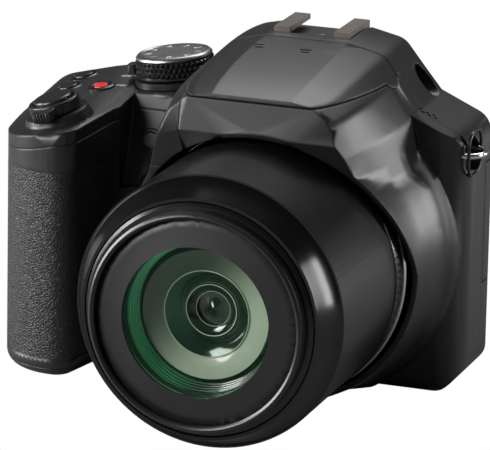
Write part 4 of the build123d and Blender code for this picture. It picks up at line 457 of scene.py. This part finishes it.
def add_grain(tree, shader, height, depth, edge=0.0):
    """Raises the surface by a height pattern, over softly rounded edges where edge is set."""
    bump = add_node(tree, "ShaderNodeBump", Height=height, Distance=depth, Strength=1.0)
    if edge:
        bevel = add_node(tree, "ShaderNodeBevel", samples=4, Radius=edge)
        tree.links.new(bevel.outputs["Normal"], bump.inputs["Normal"])
    tree.links.new(bump.outputs["Normal"], shader.inputs["Normal"])


def moulded(name, colour, roughness, scale=2600.0, depth=0.012 * MM, edge=0.0, **sockets):
    """Moulded plastic with a fine spark-eroded grain."""
    material, tree, shader, place = base_material(name, colour, roughness, **sockets)
    add_tone(tree, shader, place, colour, 0.12, 60.0)
    noise = add_node(tree, "ShaderNodeTexNoise", Vector=place, Scale=scale, Detail=2.0)
    add_grain(tree, shader, noise.outputs["Fac"], depth, edge)
    return material


def grained_skin(name, colour, roughness, scale=1500.0, depth=0.09 * MM, bend=0.0012, valley=0.28):
    """Pebbled leather-like skin: rounded cells, a little bent, between narrow valleys."""
    material, tree, shader, place = base_material(name, colour, roughness)
    add_tone(tree, shader, place, colour, 0.2, 90.0)
    wobble = add_node(tree, "ShaderNodeTexNoise", Vector=place, Scale=scale / 3, Detail=2.0)
    bent = blend(tree, "VECTOR", bend, place, wobble.outputs["Color"])
    cells = add_node(tree, "ShaderNodeTexVoronoi", feature="DISTANCE_TO_EDGE", Vector=bent, Scale=scale)
    crest = add_node(tree, "ShaderNodeMapRange", interpolation_type="SMOOTHSTEP", From_Max=valley,
                     Value=cells.outputs["Distance"])
    add_grain(tree, shader, crest.outputs["Result"], depth)
    return material


def turned_metal(name, colour, roughness, stretch, metallic=1.0):
    """Metal or paint with fine turned or brushed lines, drawn out as stretch says."""
    material, tree, shader, place = base_material(name, colour, roughness, metallic)
    add_tone(tree, shader, place, colour, 0.1, 150.0)
    lines = add_node(tree, "ShaderNodeMapping", Vector=place, Scale=stretch)
    noise = add_node(tree, "ShaderNodeTexNoise", Vector=lines.outputs["Vector"], Scale=400.0, Detail=2.0)
    add_grain(tree, shader, noise.outputs["Fac"], 0.01 * MM)
    return material


def painted_reflection_coat(name, left, right, half, roughness=0.08, fall=0.0):
    """Coated glass, or paint behind it, with a painted reflection: a different tint on each side of the axis
    stands for the light reflected there; fall leans their blend down.
    """
    material, tree, shader, place = base_material(name, left, roughness, Coat_Weight=0.6, Coat_Roughness=0.03)
    centred = add_node(tree, "ShaderNodeMapping", Vector=place, Location=(0, 0, -AXIS_HEIGHT))
    across = add_node(tree, "ShaderNodeVectorMath", operation="DOT_PRODUCT", Vector=centred.outputs["Vector"])
    across.inputs[1].default_value = (1, 0, -fall)
    share = add_node(tree, "ShaderNodeMapRange", interpolation_type="SMOOTHSTEP", From_Min=-half,
                     From_Max=half, Value=across.outputs["Value"])
    tint = blend(tree, "RGBA", share.outputs["Result"], (*left, 1), (*right, 1))
    tree.links.new(tint, shader.inputs["Base Color"])
    return material


def clear_glass(name, tint, strength=0.5):
    """Thin clear glass: see-through, with a tinted reflection that grows towards its edge."""
    material = bpy.data.materials.new(name)
    material.use_nodes = True
    tree = material.node_tree
    tree.nodes.remove(tree.nodes["Principled BSDF"])
    place = tree.nodes.new("ShaderNodeTexCoord").outputs["Object"]
    dust = add_node(tree, "ShaderNodeTexNoise", Vector=place, Scale=300.0, Detail=4.0)
    haze = add_node(tree, "ShaderNodeMapRange", To_Min=0.01, To_Max=0.05, Value=dust.outputs["Fac"])
    mirror = add_node(tree, "ShaderNodeBsdfGlossy", Color=(*tint, 1), Roughness=haze.outputs["Result"])
    edge = add_node(tree, "ShaderNodeFresnel", IOR=1.45)
    share = reckon(tree, "MULTIPLY", edge.outputs["Fac"], strength)
    mix = mix_shaders(tree, share, tree.nodes.new("ShaderNodeBsdfTransparent"), mirror)
    tree.links.new(mix.outputs[0], tree.nodes["Material Output"].inputs["Surface"])
    return material


# Settings

class ShellSettings(bpy.types.PropertyGroup):
    """Finish of the moulded body."""
    colour: FloatVectorProperty(name="Shell colour", description="Black of the moulded body", subtype="COLOR",
                                default=(0.014, 0.014, 0.015), min=0, max=1)
    grip_colour: FloatVectorProperty(name="Grip colour", description="Black of the grained skin",
                                     subtype="COLOR", default=(0.011, 0.011, 0.012), min=0, max=1)
    roughness: FloatProperty(name="Roughness", description="Roughness of the moulded body", default=0.36,
                             min=0, max=1, subtype="FACTOR")
    edge: FloatProperty(name="Edge radius", description="How far the edges of the moulded body look rounded",
                        default=0.8 * MM, min=0, unit="LENGTH")


class LensSettings(bpy.types.PropertyGroup):
    """Finish of the lens."""
    coating: FloatVectorProperty(name="Coating", description="Tint that the front glass reflects",
                                 subtype="COLOR", default=(0.35, 1.0, 0.6), min=0, max=1)
    # Painted reflection: the teal stands for light that the cell reflects on the grip side
    teal: FloatVectorProperty(name="Cell teal", description="Tint inside the cell at the grip side",
                              subtype="COLOR", default=(0.16, 0.75, 0.38), min=0, max=1)
    # Painted reflection: the sage stands for light that the wide ring in the cell reflects
    sage: FloatVectorProperty(name="Cell sage", description="Tint of the wide ring in the cell",
                              subtype="COLOR", default=(0.42, 0.5, 0.37), min=0, max=1)
    # The bright edges are rings painted near white as highlights
    line_width: FloatProperty(name="Line width", description="Width of the bright edges in the cell",
                              default=0.22 * MM, min=0.02 * MM, unit="LENGTH")


class DialSettings(bpy.types.PropertyGroup):
    """Knurl and print of the mode dial."""
    stud_count: IntProperty(name="Studs", description="Studs in one row round the dial", default=44, min=8)
    stud_depth: FloatProperty(name="Stud depth", description="Height of a stud", default=0.7 * MM,
                              min=0.05 * MM, unit="LENGTH")
    mark_count: IntProperty(name="Modes", description="Numbers on the dial", default=9, min=2, max=12)
    mark_size: FloatProperty(name="Number size", description="Height of the dial's numbers",
                             default=3.1 * MM, min=0.5 * MM, unit="LENGTH")
    print_colour: FloatVectorProperty(name="Print colour", description="Colour of the numbers and words",
                                      subtype="COLOR", default=(0.62, 0.62, 0.62), min=0, max=1)


class StageSettings(bpy.types.PropertyGroup):
    """Floor, lamps and camera."""
    focal_length: FloatProperty(name="Focal length", description="Of the viewing camera, in millimetres",
                                default=361.3, min=10)
    roll: FloatProperty(name="Roll", description="Of the viewing camera", default=math.radians(1.167),
                        subtype="ANGLE")
    lamp_power: FloatProperty(name="Lamp power", default=14.0, min=0,
                              description="Power that each lamp takes a share of, in watts")
    fill: FloatProperty(name="Fill light", description="Strength of the light from all round", default=0.06,
                        min=0)


# Pieces

@operator
class CAMERA_OT_shell(bpy.types.Operator):
    """Finish the covers, doors and grip"""
    bl_idname = "bridge.shell"
    bl_label = "Covers and grip"

    SHELL_NODES = ("top_cover", "front_cover", "rear_cover", "bottom_cover", "flash_lid", "battery_door",
                   "socket_door")
    INNER_NODES = ("battery_box", "socket_block", "flash_head", "image_sensor", "lcd_panel",
                   "viewfinder_display", "shoe_base")
    SMOOTH_ANGLE = 16               # in degrees; above it the hump's long triangles shade in streaks

    def execute(self, context):
        look = context.scene.bridge_shell
        shell = moulded("satin_black_shell", look.colour, look.roughness, edge=look.edge)
        for node in self.SHELL_NODES:
            dress(node, shell, self.SMOOTH_ANGLE)
        grained = grained_skin("grained_grip_skin", look.grip_colour, 0.42)
        for node in ("grip_skin", "thumb_rest"):
            dress(node, grained)
        dress("eyecup", moulded("soft_rubber", (0.012, 0.012, 0.013), 0.65, scale=1500.0, edge=0.3 * MM))
        inner = moulded("inner_black", (0.01, 0.01, 0.011), 0.6)
        for node in self.INNER_NODES:
            dress(node, inner)
        return {"FINISHED"}


@operator
class CAMERA_OT_trim(bpy.types.Operator):
    """Add the lips of the covers, and dark bars painted as the shade in their slots and sound holes"""
    bl_idname = "bridge.trim"
    bl_label = "Trim of the covers"

    # The ends of each slot and the middle of each hole, in pixels of the picture
    LID_SLOTS = (((253.5, 44.2), (264.5, 44.9)), ((254.6, 46.8), (263.2, 47.4)),
                 ((300.0, 49.6), (311.2, 50.3)), ((300.9, 52.0), (309.0, 52.6)))
    SOUND_HOLES = ((420.8, 109.2), (423.0, 111.9), (427.2, 112.6), (429.4, 115.4), (433.8, 115.4),
                   (436.0, 118.2))
    SLOT_WIDTH = 0.55 * MM
    HOLE_WIDTH = 0.76 * MM
    # The slots and holes are not cut: each is a bar of painted shade over its cover
    PIT_RISE = 0.06 * MM            # how far a slot's or a hole's dark face stands over its cover
    # The bead round the strap pocket and the ring round the focus lamp, in millimetres
    POCKET_WIDTH = 10.8
    POCKET_HEIGHT = 11.8
    POCKET_CORNER = 3.9
    BEAD_RADIUS = 0.45
    BEAD_SINK = 0.1
    LAMP_RING = ((-0.3, 2.15), (0.45, 2.2), (0.7, 2.45), (0.7, 3.0), (0.4, 3.35), (-0.3, 3.45))

    def execute(self, context):
        look = context.scene.bridge_stage
        # Near black without sheen: painted shade for the slots and holes
        self.paint_slot_shade(look, moulded("painted_shade_black", (0.0005, 0.0005, 0.0005), 0.9, Specular_IOR_Level=0.0))
        self.lips(moulded("satin_trim", (0.012, 0.012, 0.013), 0.3, edge=0.1 * MM))
        return {"FINISHED"}

    def paint_slot_shade(self, look, shade_paint):
        """Dark bars painted as the shade in the slots of the lid and the sound holes of the shoulder; nothing is
        cut.
        """
        lid = tree_of(["flash_lid"])
        slots = []
        for start, end in self.LID_SLOTS:
            (left, normal), (right, other) = at_pixel(look, lid, start), at_pixel(look, lid, end)
            slots.append((left, right, normal + other, self.SLOT_WIDTH, self.PIT_RISE))
        new_piece("lid_slot_shade", bars("lid_slot_shade", slots), shade_paint, "flash")
        covers = tree_of(["top_cover", "front_cover"])
        holes = []
        for pixel in self.SOUND_HOLES:
            spot, normal = at_pixel(look, covers, pixel)
            side = normal.orthogonal().normalized() * self.HOLE_WIDTH / 2
            holes.append((spot - side, spot + side, normal, self.HOLE_WIDTH, self.PIT_RISE))
        new_piece("sound_hole_shade", bars("sound_hole_shade", holes), shade_paint, "camera_body")

    def lips(self, trim):
        """The bead round the strap pocket and the ring round the focus lamp."""
        middle = Vector(MOUNTS["strap_eyelet_right"]["pos_m"])
        middle.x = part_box("front_cover")[1].x - self.BEAD_SINK * MM
        outline = rounded_loop(self.POCKET_WIDTH, self.POCKET_HEIGHT, self.POCKET_CORNER)
        bead = loop_tube("strap_lip", facing(middle, (1, 0, 0), (0, 0, 1)), outline, self.BEAD_RADIUS)
        new_piece("strap_lip", bead, trim, "camera_body")
        spot, normal = face_seen("af_lamp_window")
        ring = lathe("lamp_ring", self.LAMP_RING, facing(spot, normal, (0, 0, 1)), 64)
        new_piece("lamp_ring", ring, trim, "camera_body")


@operator
class CAMERA_OT_lens(bpy.types.Operator):
    """Finish the lens barrels and rings"""
    bl_idname = "bridge.lens"
    bl_label = "Lens barrels"

    def execute(self, context):
        satin = moulded("satin_barrel", (0.004, 0.004, 0.0045), 0.26, scale=1800.0, depth=0.002 * MM)
        for node in ("lens_outer_barrel", "zoom_barrel_one", "zoom_barrel_two"):
            dress(node, satin)
        for node in ("cam_ring", "rear_lens_holder"):
            paint(node, satin)
        gloss = moulded("gloss_front_band", (0.002, 0.002, 0.0022), 0.16, scale=900.0, depth=0.001 * MM)
        dress("lens_front_band", gloss)
        dress("filter_ring", moulded("dark_filter_ring", (0.012, 0.012, 0.013), 0.3, edge=0.1 * MM))
        dress("name_plate", moulded("dark_name_plate", (0.012, 0.012, 0.013), 0.4, scale=3000.0))
        silver = turned_metal("silver_ring", (0.8, 0.79, 0.77), 0.18, (1, 20, 1))
        for node in ("accent_ring", "strap_eyelets"):
            dress(node, silver)
        paint("hinge_pins", silver)
        # The rear lens gets a painted reflection: greenish on one side of the axis, violet on the other
        paint("rear_lens", painted_reflection_coat("rear_coating", (0.02, 0.06, 0.05), (0.05, 0.04, 0.08), 10 * MM))
        return {"FINISHED"}


@operator
class CAMERA_OT_optics(bpy.types.Operator):
    """Build the glass and the cells seen through it"""
    bl_idname = "bridge.optics"
    bl_label = "Front glass and lens cells"

    # Radii, and depths behind the front glass, in millimetres
    MOUTH_RADIUS = 11.4             # where the wide ring ends and the cone begins
    THROAT_RADIUS = 6.8             # where the cone ends
    PUPIL_RADIUS = 4.6
    # Each painted highlight line's depth and radius, its reach forward and back, and its share of the line width
    LINES = {"cell_line": (4.3, MOUTH_RADIUS, 0.1, 0.5, 1.0),
             "inner_line": (7.9, THROAT_RADIUS, 0.1, 0.3, 1.0),
             "pupil_line": (9.3, PUPIL_RADIUS, 0.05, 0.2, 0.5)}
    WIDE_RING = arc((3.6, 17.0), (4.8, MOUTH_RADIUS), 0.3) + [(6.0, MOUTH_RADIUS), (6.0, 17.0)]
    CONE = arc((4.8, 11.35), (8.4, 6.9), 0.4) + [(9.0, 6.9), (9.0, 11.35)]
    INNER_STEP = [(8.0, 6.75), (9.2, 5.6), (9.4, PUPIL_RADIUS), (11.5, 4.5), (11.5, 6.75)]
    INNER_LENS = arc((10.4, 4.5), (9.4, 0.0), -0.3) + [(11.6, 0.0), (11.6, 4.5)]
    # The stepped wall, whose first step stands a gap inside the glass's rim
    WALL_RADIUS = 20.5
    WALL_GAP = 0.1
    WALL_START = 0.2
    WALL_END = 6.0
    WALL_STEPS = 5
    STEP_PITCH = 1.1
    STEP_LENGTH = 1.0
    STEP_TAPER = 0.3
    STEP_DRAFT = 0.02
    # The filter thread, from the front of its ring
    THREAD_START = 0.5
    THREAD_RIDGES = 4
    THREAD_PITCH = 0.6
    THREAD_DEPTH = 0.3
    THREAD_WALL = 0.2

    def execute(self, context):
        look = context.scene.bridge_lens
        self.front_element(clear_glass("coated_front_glass", look.coating))
        self.cells(look)
        self.threads(moulded("thread_black", (0.01, 0.01, 0.011), 0.28))
        return {"FINISHED"}

    def front_element(self, glass):
        """The clear front glass, domed on both sides."""
        low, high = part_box("front_glass")
        front, rim = low.y / MM, high.x / MM
        dome = arc((1.6, rim), (0.0, 0.0), -1.0)
        back = arc((0.9, 0.0), (2.5, rim), 1.0)
        mesh = lathe("front_element", moved(dome + back, front))
        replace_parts(new_piece("front_element", mesh, glass, "zoom_stage_two"), "front_glass")

    def wall_profile(self, rim):
        """The stepped wall of the cell, which narrows from the glass's rim."""
        points = []
        for step in range(self.WALL_STEPS):
            start = self.WALL_START + step * self.STEP_PITCH
            radius = rim - self.WALL_GAP - step * self.STEP_TAPER
            points += [(start, radius), (start + self.STEP_LENGTH, radius - self.STEP_DRAFT)]
        return points + [(self.WALL_END, self.WALL_RADIUS), (self.WALL_START, self.WALL_RADIUS)]

    def line_profile(self, name, half):
        """A thin ring painted bright as the highlight on an edge, widest where its depth says."""
        along, radius, front, back, share = self.LINES[name]
        return [(along, radius + half * share), (along - front, radius), (along, radius - half * share),
                (along + back, radius)]

    def cells(self, look):
        """The stepped wall, the wide ring, the cone and the inner lens, with painted reflections in their tints
        and painted highlight lines at their edges.
        """
        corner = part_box("front_glass")[1]
        rim, seat = corner.x / MM, corner.y / MM
        half = look.line_width / 2 / MM
        # Painted reflection on the wall: teal towards the upper left, near black towards the lower right
        wall = painted_reflection_coat("teal_painted_reflection_wall", look.teal, (0.004, 0.02, 0.01), 12 * MM, 0.3, 0.6)
        # Painted reflection on the wide ring: sage towards the lower right, dark olive towards the upper left
        sage = painted_reflection_coat("sage_painted_reflection_ring", (0.045, 0.05, 0.03), look.sage, 15 * MM, 0.35, 1.0)
        # Dark glass colour, a little lighter towards the right as a faint painted reflection
        dark = painted_reflection_coat("dark_element", (0.002, 0.006, 0.002), (0.008, 0.012, 0.007), 8 * MM, 0.14)
        # Near-white rings painted as the highlights on the cells' edges
        painted_highlight = moulded("cell_edge_painted_highlight", (0.75, 0.85, 0.65), 0.4, depth=0.001 * MM)
        rows = (
            ("cell_wall", self.wall_profile(rim), wall),
            ("cell_edge", self.WIDE_RING, sage),
            ("cell_line", self.line_profile("cell_line", half), painted_highlight),
            ("cell_cone", self.CONE, dark),
            ("inner_line", self.line_profile("inner_line", half), painted_highlight),
            ("inner_step", self.INNER_STEP, dark),
            ("pupil_line", self.line_profile("pupil_line", half), painted_highlight),
            ("inner_lens", self.INNER_LENS, dark),
        )
        for name, profile, material in rows:
            new_piece(name, lathe(name, moved(profile, seat)), material, "zoom_stage_two")

    def threads(self, black):
        """The ridges of the filter thread."""
        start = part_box("filter_ring")[0].y / MM + self.THREAD_START
        crest = MOUNTS["filter_thread"]["dims"]["r_mm"]
        root = crest + self.THREAD_DEPTH
        points = []
        for ridge in range(self.THREAD_RIDGES):
            along = start + ridge * self.THREAD_PITCH
            points += [(along, root), (along + self.THREAD_PITCH / 2, crest)]
        end = start + self.THREAD_RIDGES * self.THREAD_PITCH
        points += [(end, root), (end, root + self.THREAD_WALL), (start, root + self.THREAD_WALL)]
        new_piece("filter_threads", lathe("filter_threads", points), black, "zoom_stage_two")


@operator
class CAMERA_OT_dial(bpy.types.Operator):
    """Build the mode dial with its studs, rim and numbers"""
    bl_idname = "bridge.dial"
    bl_label = "Mode dial"

    # Heights over the dial's pivot and radii, in millimetres
    DRUM_RADIUS = 9.95
    DRUM = ((2.4, 4.2), (2.4, 10.1), (2.7, 10.4), (3.1, 10.4), (3.1, DRUM_RADIUS), (7.6, DRUM_RADIUS),
            (7.6, 4.2))
    RIM = ((7.6, 8.8), (7.6, 10.3), (7.8, 10.45), (8.1, 10.4), (8.75, 9.75), (8.8, 9.3), (8.6, 9.1),
           (8.5, 8.8))
    CAP = ((7.7, 0.0), (7.7, 8.95), (8.55, 8.95), (8.7, 8.6), (8.62, 6.0), (8.55, 0.0))
    SEGMENTS = 96
    STUD_RADIUS = 10.0
    STUD_ROWS = 3
    FIRST_ROW = 3.9
    ROW_GAP = 1.45
    STUD_SHARE = 0.96               # a stud's width, as a share of the pitch
    STUD_ANGLE = 20                 # in degrees; sharper edges of a stud stay crisp
    NUMBER_RADIUS = 7.0
    NUMBER_HEIGHT = 8.66

    def execute(self, context):
        look = context.scene.bridge_dial
        place = joint_place("mode_dial_turn")
        black = moulded("dial_black", (0.012, 0.012, 0.013), 0.24, depth=0.002 * MM)
        rim = turned_metal("dial_rim", (0.34, 0.34, 0.35), 0.34, (1, 1, 1))
        face = turned_metal("dial_face", (0.14, 0.14, 0.145), 0.42, (1, 1, 1), 0.6)
        rows = (
            ("dial_drum", self.DRUM, black, "control", "mode_dial"),
            ("dial_bevel", self.RIM, rim, "silver", None),
            ("dial_cap_face", self.CAP, face, "control", "mode_dial_cap"),
        )
        for name, profile, material, slot, node in rows:
            piece = new_piece(name, lathe(name, profile, place, self.SEGMENTS), material, "dial")
            if node:
                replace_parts(piece, node)
        self.studs(look, place, black)
        self.numbers(look, place)
        return {"FINISHED"}

    def studs(self, look, place, black):
        """The knurl round the drum."""
        pitch = 2 * math.pi * self.DRUM_RADIUS / look.stud_count
        sizes = {"Radius": self.STUD_RADIUS * MM, "Studs": look.stud_count,
                 "Stud width": pitch * self.STUD_SHARE * MM, "Stud depth": look.stud_depth,
                 "First row": self.FIRST_ROW * MM, "Row gap": self.ROW_GAP * MM}
        mesh = knurl("dial_studs", place, self.STUD_ROWS, sizes, black)
        new_piece("dial_studs", mesh, black, "dial", self.STUD_ANGLE)

    def numbers(self, look, place):
        """The numbers round the cap, each with its foot to the middle."""
        prints = []
        for step in range(look.mark_count):
            angle = 2 * math.pi * step / look.mark_count
            out = Vector((math.cos(angle), math.sin(angle), 0))
            spot = place @ ((out * self.NUMBER_RADIUS + Vector((0, 0, self.NUMBER_HEIGHT))) * MM)
            prints.append((str(step + 1), facing(spot, place.col[2].to_3d(), place.to_3x3() @ out)))
        ink = moulded("dial_print", look.print_colour, 0.5)
        new_piece("dial_numbers", lettering("dial_numbers", prints, look.mark_size), ink, "dial")


@operator
class CAMERA_OT_controls(bpy.types.Operator):
    """Finish the levers and buttons"""
    bl_idname = "bridge.controls"
    bl_label = "Levers and buttons"

    BLACK_NODES = ("power_lever", "zoom_lever", "function_button", "drive_button", "view_button",
                   "lock_button", "play_button", "quick_button", "display_button", "menu_button",
                   "four_way_pad", "rear_dial", "diopter_dial", "door_latch")
    METAL_NODES = ("shoe_rails", "shoe_contacts", "tripod_bush", "housing_screws")
    # Each lip's inner and outer radius and its rise over the deck, in millimetres
    LIPS = {"movie": (2.3, 3.9, 0.75), "function": (3.0, 4.1, 0.35), "drive": (3.0, 4.1, 0.35)}
    LIP_ROOT = 0.5                  # how deep a lip reaches into the deck
    LIP_PROBE = 0.2                 # how far inside its outer edge the deck's height is read
    BEVEL_DROP = 0.15               # the lip's inner bevel
    BEVEL_RUN = 0.2
    SLOPE_DROP = 0.3                # the lip's outer slope, and its lean below that
    SLOPE_RUN = 0.6
    FOOT_RUN = 0.1

    def execute(self, context):
        control = moulded("satin_control", (0.01, 0.01, 0.011), 0.32, edge=0.12 * MM)
        for node in self.BLACK_NODES:
            dress(node, control)
        dress("movie_button", moulded("record_red", (0.62, 0.012, 0.01), 0.35, edge=0.1 * MM))
        dress("shutter_button", moulded("shutter_satin", (0.014, 0.014, 0.015), 0.26, edge=0.2 * MM))
        metal = turned_metal("shoe_metal", (0.2, 0.175, 0.16), 0.42, (1, 30, 1))
        for node in self.METAL_NODES:
            dress(node, metal)
        for node in ("zoom_motor", "flash_capacitor"):
            paint(node, metal)
        paint("main_board", moulded("green_laminate", (0.02, 0.12, 0.05), 0.4))
        dress("battery", moulded("battery_wrap", (0.09, 0.09, 0.1), 0.45))
        trim = moulded("button_lip", (0.006, 0.006, 0.007), 0.3, edge=0.1 * MM)
        deck = tree_of(["top_cover"])
        for button, sizes in self.LIPS.items():
            self.lip(button, *sizes, deck, trim)
        return {"FINISHED"}

    def lip(self, button, inner, outer, rise, deck, trim):
        """A round lip on the deck about a button, square to the way it is pressed."""
        low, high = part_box(button + "_button")
        middle = (low + high) / 2
        up = -Vector(JOINTS[button + "_press"]["axis"])
        spot = from_above(deck, middle.x / MM + outer - self.LIP_PROBE, middle.y / MM)[0]
        level = (spot - middle).dot(up) / MM
        ring = [(-self.LIP_ROOT, inner), (rise - self.BEVEL_DROP, inner), (rise, inner + self.BEVEL_RUN),
                (rise, outer - self.SLOPE_RUN), (rise - self.SLOPE_DROP, outer - self.FOOT_RUN),
                (-self.LIP_ROOT, outer)]
        name = button + "_lip"
        mesh = lathe(name, moved(ring, level), facing(middle, up), 64)
        new_piece(name, mesh, trim, "camera_body")


@operator
class CAMERA_OT_marks(bpy.types.Operator):
    """Print the plain marks beside the controls"""
    bl_idname = "bridge.marks"
    bl_label = "Plain marks"

    WORDS = {"ON": (-57.6, 4.0), "OFF": (-56.3, -3.5)}     # x and y on the deck, in millimetres
    WORD_SIZE = 1.7 * MM
    PAD_MARK_RADIUS = 8.6 * MM
    PAD_MARK_LENGTH = 1.0 * MM
    PAD_MARK_WIDTH = 0.9 * MM

    def execute(self, context):
        ink = moulded("print_grey", context.scene.bridge_dial.print_colour, 0.5)
        deck = tree_of(["top_cover"])
        prints = []
        for word, (x, y) in self.WORDS.items():
            spot, normal = from_above(deck, x, y)
            prints.append((word, facing(spot + normal * PRINT_RISE, normal)))
        words = lettering("switch_words", prints, self.WORD_SIZE)
        new_piece("switch_words", words, ink, "camera_body")
        low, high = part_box("four_way_pad")
        middle = (low + high) / 2
        strips = []
        for turn in range(4):
            angle = turn * math.pi / 2
            out = Vector((math.cos(angle), 0, math.sin(angle)))
            tip = Vector((middle.x, high.y, middle.z)) + out * self.PAD_MARK_RADIUS
            strips.append((tip, tip - out * self.PAD_MARK_LENGTH, Vector((0, 1, 0)), self.PAD_MARK_WIDTH,
                           PRINT_RISE))
        new_piece("pad_marks", bars("pad_marks", strips), ink, "pad")
        return {"FINISHED"}


@operator
class CAMERA_OT_windows(bpy.types.Operator):
    """Finish the screen, eyepiece, lamp and flash windows"""
    bl_idname = "bridge.windows"
    bl_label = "Windows and screen"

    def execute(self, context):
        screen = moulded("screen_black", (0.006, 0.007, 0.009), 0.08, scale=400.0, depth=0.001 * MM,
                         Coat_Weight=1.0)
        dress("screen_glass", screen)
        # The eyepiece gets a painted reflection: bluish on one side of the axis, violet on the other
        dress("eyepiece_lens", painted_reflection_coat("eyepiece_coating", (0.01, 0.015, 0.03), (0.02, 0.01, 0.03), 10 * MM))
        dress("af_lamp_window", moulded("smoked_lamp_lens", (0.14, 0.13, 0.13), 0.3, Coat_Weight=1.0))
        dress("flash_window", moulded("frosted_flash_window", (0.6, 0.6, 0.58), 0.3))
        return {"FINISHED"}


@operator
class CAMERA_OT_stage(bpy.types.Operator):
    """Set the floor, the soft light and the camera"""
    bl_idname = "bridge.stage"
    bl_label = "Stage"

    FLOOR_REACH = 6.0               # half the floor's side, in metres
    FLOOR_DROP = 0.2 * MM           # the floor's gap under the camera
    FLOOR_GREY = 0.25
    # Each lamp's place, its width and height, its share of the lamp power and what it faces, in metres
    LAMPS = {
        "key": ((-0.8, -1.0, 0.6), (0.5, 0.7), 1.3, (-0.04, -0.02, 0.05)),
        "left": ((-1.2, -0.3, 0.3), (0.5, 0.9), 1.7, (-0.06, -0.02, 0.04)),
        "top": ((0.0, 0.75, 1.0), (1.0, 0.5), 0.55, (0.0, 0.0, 0.07)),
        "side": ((1.3, 0.25, 0.25), (0.22, 0.9), 0.5, (0.02, -0.03, 0.04)),
        "back": ((1.0, 0.95, 0.15), (0.1, 0.6), 0.5, (0.03, -0.06, 0.05)),
    }

    def execute(self, context):
        look = context.scene.bridge_stage
        scene = context.scene
        scene.view_settings.view_transform = "Standard"
        self.room(scene, look)
        self.floor(scene)
        for name, sizes in self.LAMPS.items():
            self.lamp(scene, look, name, *sizes)
        self.camera(scene, look)
        return {"FINISHED"}

    def white_seen(self, tree, lit, kind):
        """White for what the camera sees of it, and the lit node for all other rays."""
        rays = tree.nodes.new("ShaderNodeLightPath")
        white = add_node(tree, kind, Color=(1, 1, 1, 1))
        return mix_shaders(tree, rays.outputs["Is Camera Ray"], lit, white)

    def room(self, scene, look):
        """The soft light from all round, before a white background."""
        scene.world = bpy.data.worlds.new("soft_room")
        scene.world.use_nodes = True
        tree = scene.world.node_tree
        fill = tree.nodes["Background"]
        fill.inputs["Color"].default_value = (0.95, 0.97, 1.0, 1)
        fill.inputs["Strength"].default_value = look.fill
        seen = self.white_seen(tree, fill, "ShaderNodeBackground")
        tree.links.new(seen.outputs[0], tree.nodes["World Output"].inputs["Surface"])

    def floor(self, scene):
        """A floor that the camera sees white from above and not at all from below."""
        mesh = bpy.data.meshes.new("floor")
        reach = self.FLOOR_REACH
        corners = [(-reach, -reach, 0), (reach, -reach, 0), (reach, reach, 0), (-reach, reach, 0)]
        mesh.from_pydata(corners, [], [(0, 1, 2, 3)])
        floor = bpy.data.objects.new("floor", mesh)
        scene.collection.objects.link(floor)
        floor.location.z = -self.FLOOR_DROP
        material = bpy.data.materials.new("pale_floor")
        material.use_nodes = True
        tree = material.node_tree
        shader = tree.nodes["Principled BSDF"]
        shader.inputs["Base Color"].default_value = (self.FLOOR_GREY, self.FLOOR_GREY, self.FLOOR_GREY, 1)
        shader.inputs["Roughness"].default_value = 0.8
        side = tree.nodes.new("ShaderNodeNewGeometry")
        one_way = mix_shaders(tree, side.outputs["Backfacing"],
                              self.white_seen(tree, shader, "ShaderNodeEmission"),
                              tree.nodes.new("ShaderNodeBsdfTransparent"))
        tree.links.new(one_way.outputs[0], tree.nodes["Material Output"].inputs["Surface"])
        mesh.materials.append(material)

    def lamp(self, scene, look, name, place, size, share, target):
        """A soft rectangular lamp."""
        data = bpy.data.lights.new(name, "AREA")
        data.shape = "RECTANGLE"
        data.size, data.size_y = size
        data.energy = look.lamp_power * share
        lamp = bpy.data.objects.new(name, data)
        scene.collection.objects.link(lamp)
        lamp.location = place
        lamp.rotation_euler = (Vector(place) - Vector(target)).to_track_quat("Z", "Y").to_euler()

    def camera(self, scene, look):
        """The viewing camera."""
        data = bpy.data.cameras.new("view_camera")
        data.lens = look.focal_length
        data.sensor_width = SENSOR
        data.clip_end = 20.0
        camera = bpy.data.objects.new("view_camera", data)
        scene.collection.objects.link(camera)
        right, up, forward = view_axes(look)
        camera.matrix_world = Matrix.Translation(EYE) @ Matrix((right, up, -forward)).transposed().to_4x4()
        scene.camera = camera


class CAMERA_PT_panel(bpy.types.Panel):
    """Lists the pieces and their settings in the sidebar"""
    bl_label = "Bridge camera"
    bl_idname = "CAMERA_PT_bridge"
    bl_space_type = "VIEW_3D"
    bl_region_type = "UI"
    bl_category = "Camera"

    def draw(self, context):
        column = self.layout.column()
        for cls in RUN_ORDER:
            column.operator(cls.bl_idname)
        for name, group in SETTINGS:
            holder = getattr(context.scene, name)
            for key in group.bl_rna.properties.keys():
                if key not in ("rna_type", "name"):
                    column.prop(holder, key)


SETTINGS = (("bridge_shell", ShellSettings), ("bridge_lens", LensSettings), ("bridge_dial", DialSettings),
            ("bridge_stage", StageSettings))


def register():
    for name, group in SETTINGS:
        bpy.utils.register_class(group)
        setattr(bpy.types.Scene, name, PointerProperty(type=group))
    for cls in (*RUN_ORDER, CAMERA_PT_panel):
        bpy.utils.register_class(cls)


def unregister():
    for cls in reversed((*RUN_ORDER, CAMERA_PT_panel)):
        bpy.utils.unregister_class(cls)
    for name, group in reversed(SETTINGS):
        delattr(bpy.types.Scene, name)
        bpy.utils.unregister_class(group)


def main():
    register()
    for cls in RUN_ORDER:
        group, name = cls.bl_idname.split(".")
        getattr(getattr(bpy.ops, group), name)()


if __name__ == "__main__":
    main()
